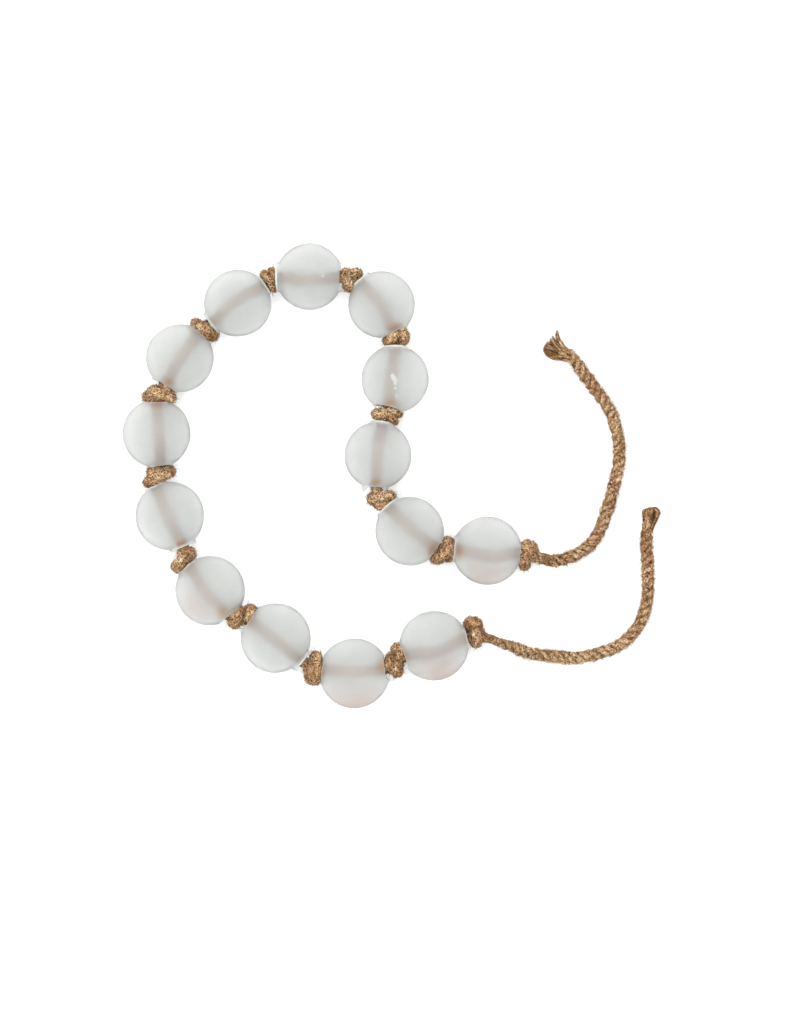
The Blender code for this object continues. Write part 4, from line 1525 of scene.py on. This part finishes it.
@dataclass
class GlassBead:
    """One hollow blown bead, with a broken lip at each mouth and a small flat spot underneath."""

    number: int
    plan: BeadPlan
    # How thick the wall and a lip are
    wall: float = 1.1 * MM
    lip: float = 0.9 * MM
    # Points round it, and rows of points on half its outside, on a lip and on half its inside
    around: int = 96
    arc_rows: int = 16
    lip_rows: int = 4
    inner_rows: int = 9
    # Where the way from the middle to a mouth begins to turn to the mouth's heading, and over how much of
    # it, in radii
    lean_start: float = 0.35
    lean_span: float = 0.5
    # Chips of a rim: their height in millimetres and their size, as a share of the rim's radius
    chips: tuple[tuple[float, float], ...] = ((0.10, 1.3), (0.07, 0.45))
    # Where the lip leaves the ball: at least so far under its rim, at so many times its half width
    lip_length: float = 0.25 * MM
    foot_share: float = 1.08
    # The rim from outside to inside: share of the way in, rise in millimetres, share of the inside's drop
    profile: tuple[tuple[float, float, float], ...] = ((0.28, 0.14, 0.0), (0.75, 0.08, 0.3), (1.0, 0.0, 1.0))
    drop: float = 0.3 * MM
    drop_spread: float = 0.6
    drop_chips: float = 0.8
    # How far the blown ball is out of round, as a share, and the size of a swelling in millimetres
    swell: float = 0.006
    swell_size: float = 26.0
    # How many seeds each bead has, and which of them are the near half's and the swelling's
    seeds: int = 100
    near_seed: int = 50
    swell_seed: int = 7

    @staticmethod
    def circle(angles: np.ndarray) -> np.ndarray:
        """Return the points of a circle of radius one."""
        return np.stack((np.cos(angles), np.sin(angles), 0.0 * angles), axis=-1)

    def rim(self, mouth: Mouth, angles: np.ndarray, sign: float, seed: int) -> tuple[np.ndarray, np.ndarray]:
        """Return the radius and the reach of a mouth's outer rim.

        Args:
            mouth: The mouth.
            angles: Places round the mouth, 0 on the left seen along the string and a quarter turn at its top.
            sign: 1 for the mouth at the far end and -1 for the near one.
            seed: Seed of its chips.

        Returns:
            Radius and reach at each place, in metres.
        """
        radius = self.plan.radius * MM
        left = np.maximum(sign * np.cos(angles), 0.0) ** 4
        right = np.maximum(-sign * np.cos(angles), 0.0) ** 4
        top = np.maximum(np.sin(angles), 0.0) ** 2
        jag = sum(height * ripple(self.circle(angles), size, seed + k)
                  for k, (height, size) in enumerate(self.chips))
        reach = MM * (mouth.reach + mouth.top * top + mouth.left * left + mouth.right * right + jag)
        ball = np.sqrt(np.maximum(radius ** 2 - reach ** 2, 0.0))
        return np.maximum(ball, mouth.half * MM), reach

    def half_rows(self, mouth: Mouth, sign: float, seed: int) -> list[np.ndarray]:
        """Return the rows of one half, from the middle of the outside round the lip to the inside.

        Args:
            mouth: The half's mouth.
            sign: 1 for the far half and -1 for the near one.
            seed: Seed of the lip.

        Returns:
            Rows of points as side, up and along, in metres from the middle.
        """
        angles = round_angles(self.around)
        radius = self.plan.radius * MM
        inner = radius - self.wall
        rho, reach = self.rim(mouth, angles, sign, seed)
        widest = math.sqrt(radius ** 2 - (self.foot_share * mouth.half * MM) ** 2)
        foot_reach = np.minimum(reach - self.lip_length, widest)
        foot = np.sqrt(radius ** 2 - foot_reach ** 2)
        rows = []
        for share in np.linspace(0.0, 1.0, self.arc_rows):
            theta = math.pi / 2.0 + (np.arctan2(foot, foot_reach) - math.pi / 2.0) * share
            rows.append((radius * np.sin(theta), radius * np.cos(theta)))
        for share in np.linspace(0.0, 1.0, self.lip_rows)[1:]:
            rows.append((foot + (rho - foot) * share, foot_reach + (reach - foot_reach) * share))
        inside = rho - self.lip
        uneven = ripple(self.circle(angles), self.drop_chips, seed + len(self.chips))
        drop = self.drop * (1.0 + self.drop_spread * uneven)
        for share, rise, sunk in self.profile:
            rows.append((rho * (1.0 - share) + inside * share, reach + rise * MM - drop * sunk))
        for share in np.linspace(0.0, 1.0, self.inner_rows):
            start = np.arctan2(inside, np.sqrt(np.maximum(inner ** 2 - inside ** 2, 1e-9)))
            theta = start + (math.pi / 2.0 - start) * share
            rows.append((inner * np.sin(theta), inner * np.cos(theta)))
        return [np.stack((r * np.cos(angles), r * np.sin(angles), sign * h), axis=-1) for r, h in rows]

    def build(self, glass: bpy.types.Material, rim: bpy.types.Material,
              inner_skin: bpy.types.Material) -> bpy.types.Object:
        """Build the bead where it lies.

        Args:
            glass: Material of its etched outside.
            rim: Material of its broken lips, partly a painted highlight.
            inner_skin: Material of its inside.

        Returns:
            The bead.
        """
        plan = self.plan
        seed = self.seeds * self.number
        far = self.half_rows(plan.b, 1.0, seed)
        near = self.half_rows(plan.a, -1.0, seed + self.near_seed)
        rows = np.array(far[:-1] + near[::-1][:-1])
        count = len(rows)
        materials = (glass, rim, inner_skin)
        rim_row, rim_faces = self.arc_rows + self.lip_rows - 2, len(self.profile) + 1
        slots = np.full(count, materials.index(glass), np.int32)
        slots[rim_row:count - rim_row] = materials.index(inner_skin)
        for first in (rim_row - 1, count - rim_row - len(self.profile)):
            slots[first:first + rim_faces] = materials.index(rim)
        points = rows.reshape(-1, 3)
        swell = 1.0 + self.swell * ripple(points / MM, self.swell_size, seed + self.swell_seed)
        points = points * swell[:, None]
        half_turn = ((plan.b.heading - plan.a.heading) % 360.0 - 180.0) / 2.0
        share = points[:, 2] / (plan.radius * MM)
        lean = half_turn * np.sign(share) * smoothstep((np.abs(share) - self.lean_start) / self.lean_span)
        ahead = heading_vector(plan.b.heading - half_turn + lean)
        placed = Chain.bead_centre(plan) + points[:, 2:3] * ahead
        placed += points[:, 0:1] * left_of(ahead) + points[:, 1:2] * UP
        placed[:, 2] = np.maximum(placed[:, 2], 0.0)
        faces = ring_faces(count, self.around, True)
        obj = make_object(f"glass_bead_{self.number:02d}", placed, faces, materials)
        obj.data.polygons.foreach_set("material_index", np.repeat(slots, self.around))
        return obj


# The studio


@dataclass
class Studio:
    """A pale table, soft light from all round and above, and a camera that looks straight down."""

    look_at: tuple[float, float] = (25.1 * MM, -16.0 * MM)
    look_height: float = 15.0 * MM
    lens: float = 300.0
    frame_height: float = 451.8 * MM
    sensor: float = 36.0
    table_half: float = 3.0
    table_drop: float = 0.1 * MM
    table_colour: str = "#FBFBFB"
    table_roughness: float = 0.95
    light_place: tuple[float, float, float] = (-0.22, 0.22, 2.15)
    light_size: float = 2.2
    light_power: float = 62.0
    sky_colour: str = "#FFFFFF"
    sky_strength: float = 0.95

    def camera(self) -> None:
        """Add the camera above the middle of the picture."""
        data = bpy.data.cameras.new("camera")
        data.lens = self.lens
        data.sensor_width = self.sensor
        data.sensor_fit = "AUTO"
        obj = place_object("camera", data)
        distance = self.lens / self.sensor * self.frame_height
        obj.location = (*self.look_at, self.look_height + distance)
        bpy.context.scene.camera = obj

    def table(self) -> None:
        """Add the pale table top."""
        corners = np.array(((-1, -1), (1, -1), (1, 1), (-1, 1))) * self.table_half
        corners = np.column_stack((corners, np.full(4, -self.table_drop)))
        material, tree, shader = start_material("pale_matt_board")
        fill(tree, shader, {"Base Color": linear(self.table_colour), "Roughness": self.table_roughness})
        make_object("table", corners, [(0, 1, 2, 3)], (material,))

    def light(self) -> None:
        """Add the soft square light, which faces the garland."""
        data = bpy.data.lights.new("overhead", "AREA")
        data.shape = "SQUARE"
        data.size = self.light_size
        data.energy = self.light_power
        obj = place_object("overhead", data)
        obj.location = self.light_place
        toward = Vector((*self.look_at, 0.0)) - Vector(self.light_place)
        obj.rotation_euler = toward.to_track_quat("-Z", "Y").to_euler()
        obj.visible_camera = False

    def sky(self) -> None:
        """Light the scene evenly from all round."""
        world = bpy.data.worlds.new("soft_sky")
        world.use_nodes = True
        fill(world.node_tree, world.node_tree.nodes["Background"], {
            "Color": linear(self.sky_colour), "Strength": self.sky_strength})
        bpy.context.scene.world = world

    def build(self) -> None:
        """Set up the camera, the table, the light and the sky."""
        self.camera()
        self.table()
        self.light()
        self.sky()
        bpy.context.scene.view_settings.view_transform = "Standard"


def dress(name: str, ground: bpy.types.Object, hair: Hair, brush: Sequence[BrushPart], loose: Sequence[Stray],
          strays: StrayFibres, wisps: bpy.types.Material) -> list[bpy.types.Object]:
    """Dress a stretch of cord with fuzz, its opened end and its stray fibres.

    Args:
        name: Name of the stretch.
        ground: The stretch.
        hair: How hairy it is.
        brush: Locks of its opened end.
        loose: Stray fibres and bark on it.
        strays: Maker of the stray fibres.
        wisps: The loose jute.

    Returns:
        The pieces.
    """
    standing = Fuzz("fuzz_" + name, hair.standing, length=1.3 * MM, seed=hair.seed, bend=Bend.STANDING,
                    thickness=0.12 * MM, lean=0.7)
    lying = Fuzz("wisps_" + name, hair.lying, length=2.2 * MM, seed=hair.seed + SEED_GAP, bend=Bend.LYING,
                 thickness=0.24 * MM, lean=0.2)
    pieces = [standing.build(ground, wisps), lying.build(ground, wisps)]
    pieces += [FibreBundle(part, hair.seed + part.fibres).build(wisps) for part in brush]
    pieces += [strays.build(stray) for stray in loose]
    for piece in pieces:
        settle(piece, Slot.JUTE)
    return pieces


def main() -> None:
    """Build the garland, piece by piece, and let each piece ride."""
    logging.basicConfig(level=logging.INFO, format="%(name)s: %(message)s")
    Studio().build()
    jute = JuteFibre().build("jute_three_strand_laid")
    wisps = JuteFibre(pale="#E4C397", mid="#8F6A45", dark="#3E230F", by_fibre=True).build("jute_loose_fibre")
    lay = ThreeStrandLay()
    chain = Chain.laid_out()
    strung, normal, turn = StrungCord(chain, lay).build(jute)
    tail_a = FreeTail("jute_tail_a", TAIL_A_ROUTE, tip_share=0.86, thinning=0.24, lay=lay, seed=23,
                      opened_length=5.5 * MM)
    tail_b = FreeTail("jute_tail_b", TAIL_B_ROUTE, tip_share=0.74, thinning=0.0, lay=lay, seed=37,
                      opened_length=6.0 * MM)
    body_a, path_a = tail_a.build(chain, 0, chain.lefts[0], 0.0, jute)
    body_b, path_b = tail_b.build(chain, -1, normal, turn, jute)
    settle(strung, Slot.JUTE, "knotted_cord")
    settle(body_a, Slot.JUTE, "cord_tail_a")
    settle(body_b, Slot.JUTE, "cord_tail_b")
    strays = StrayFibres({})
    dress("strung", strung, STRUNG_HAIR, (), STRUNG_STRAYS, strays, wisps)
    dressed_a = dress("tail_a", body_a, TAIL_A_HAIR, BRUSH_A, TAIL_A_STRAYS, strays, wisps)
    dressed_b = dress("tail_b", body_b, TAIL_B_HAIR, BRUSH_B, TAIL_B_STRAYS, strays, wisps)
    glass = FrostedGlass().build("soda_lime_glass_acid_etched", GLINT_CHIPS, BLUSHES, CORD_SHADES)
    rim = BROKEN_RIM_AND_HIGHLIGHT.build("soda_lime_glass_broken_rim_and_highlight")
    inside = INNER_SKIN.build("soda_lime_glass_inner_skin")
    for number, plan in enumerate(BEADS, start=1):
        bead = GlassBead(number, plan).build(glass, rim, inside)
        settle(bead, Slot.GLASS, f"bead_{number:02d}")


if __name__ == "__main__":
    main()
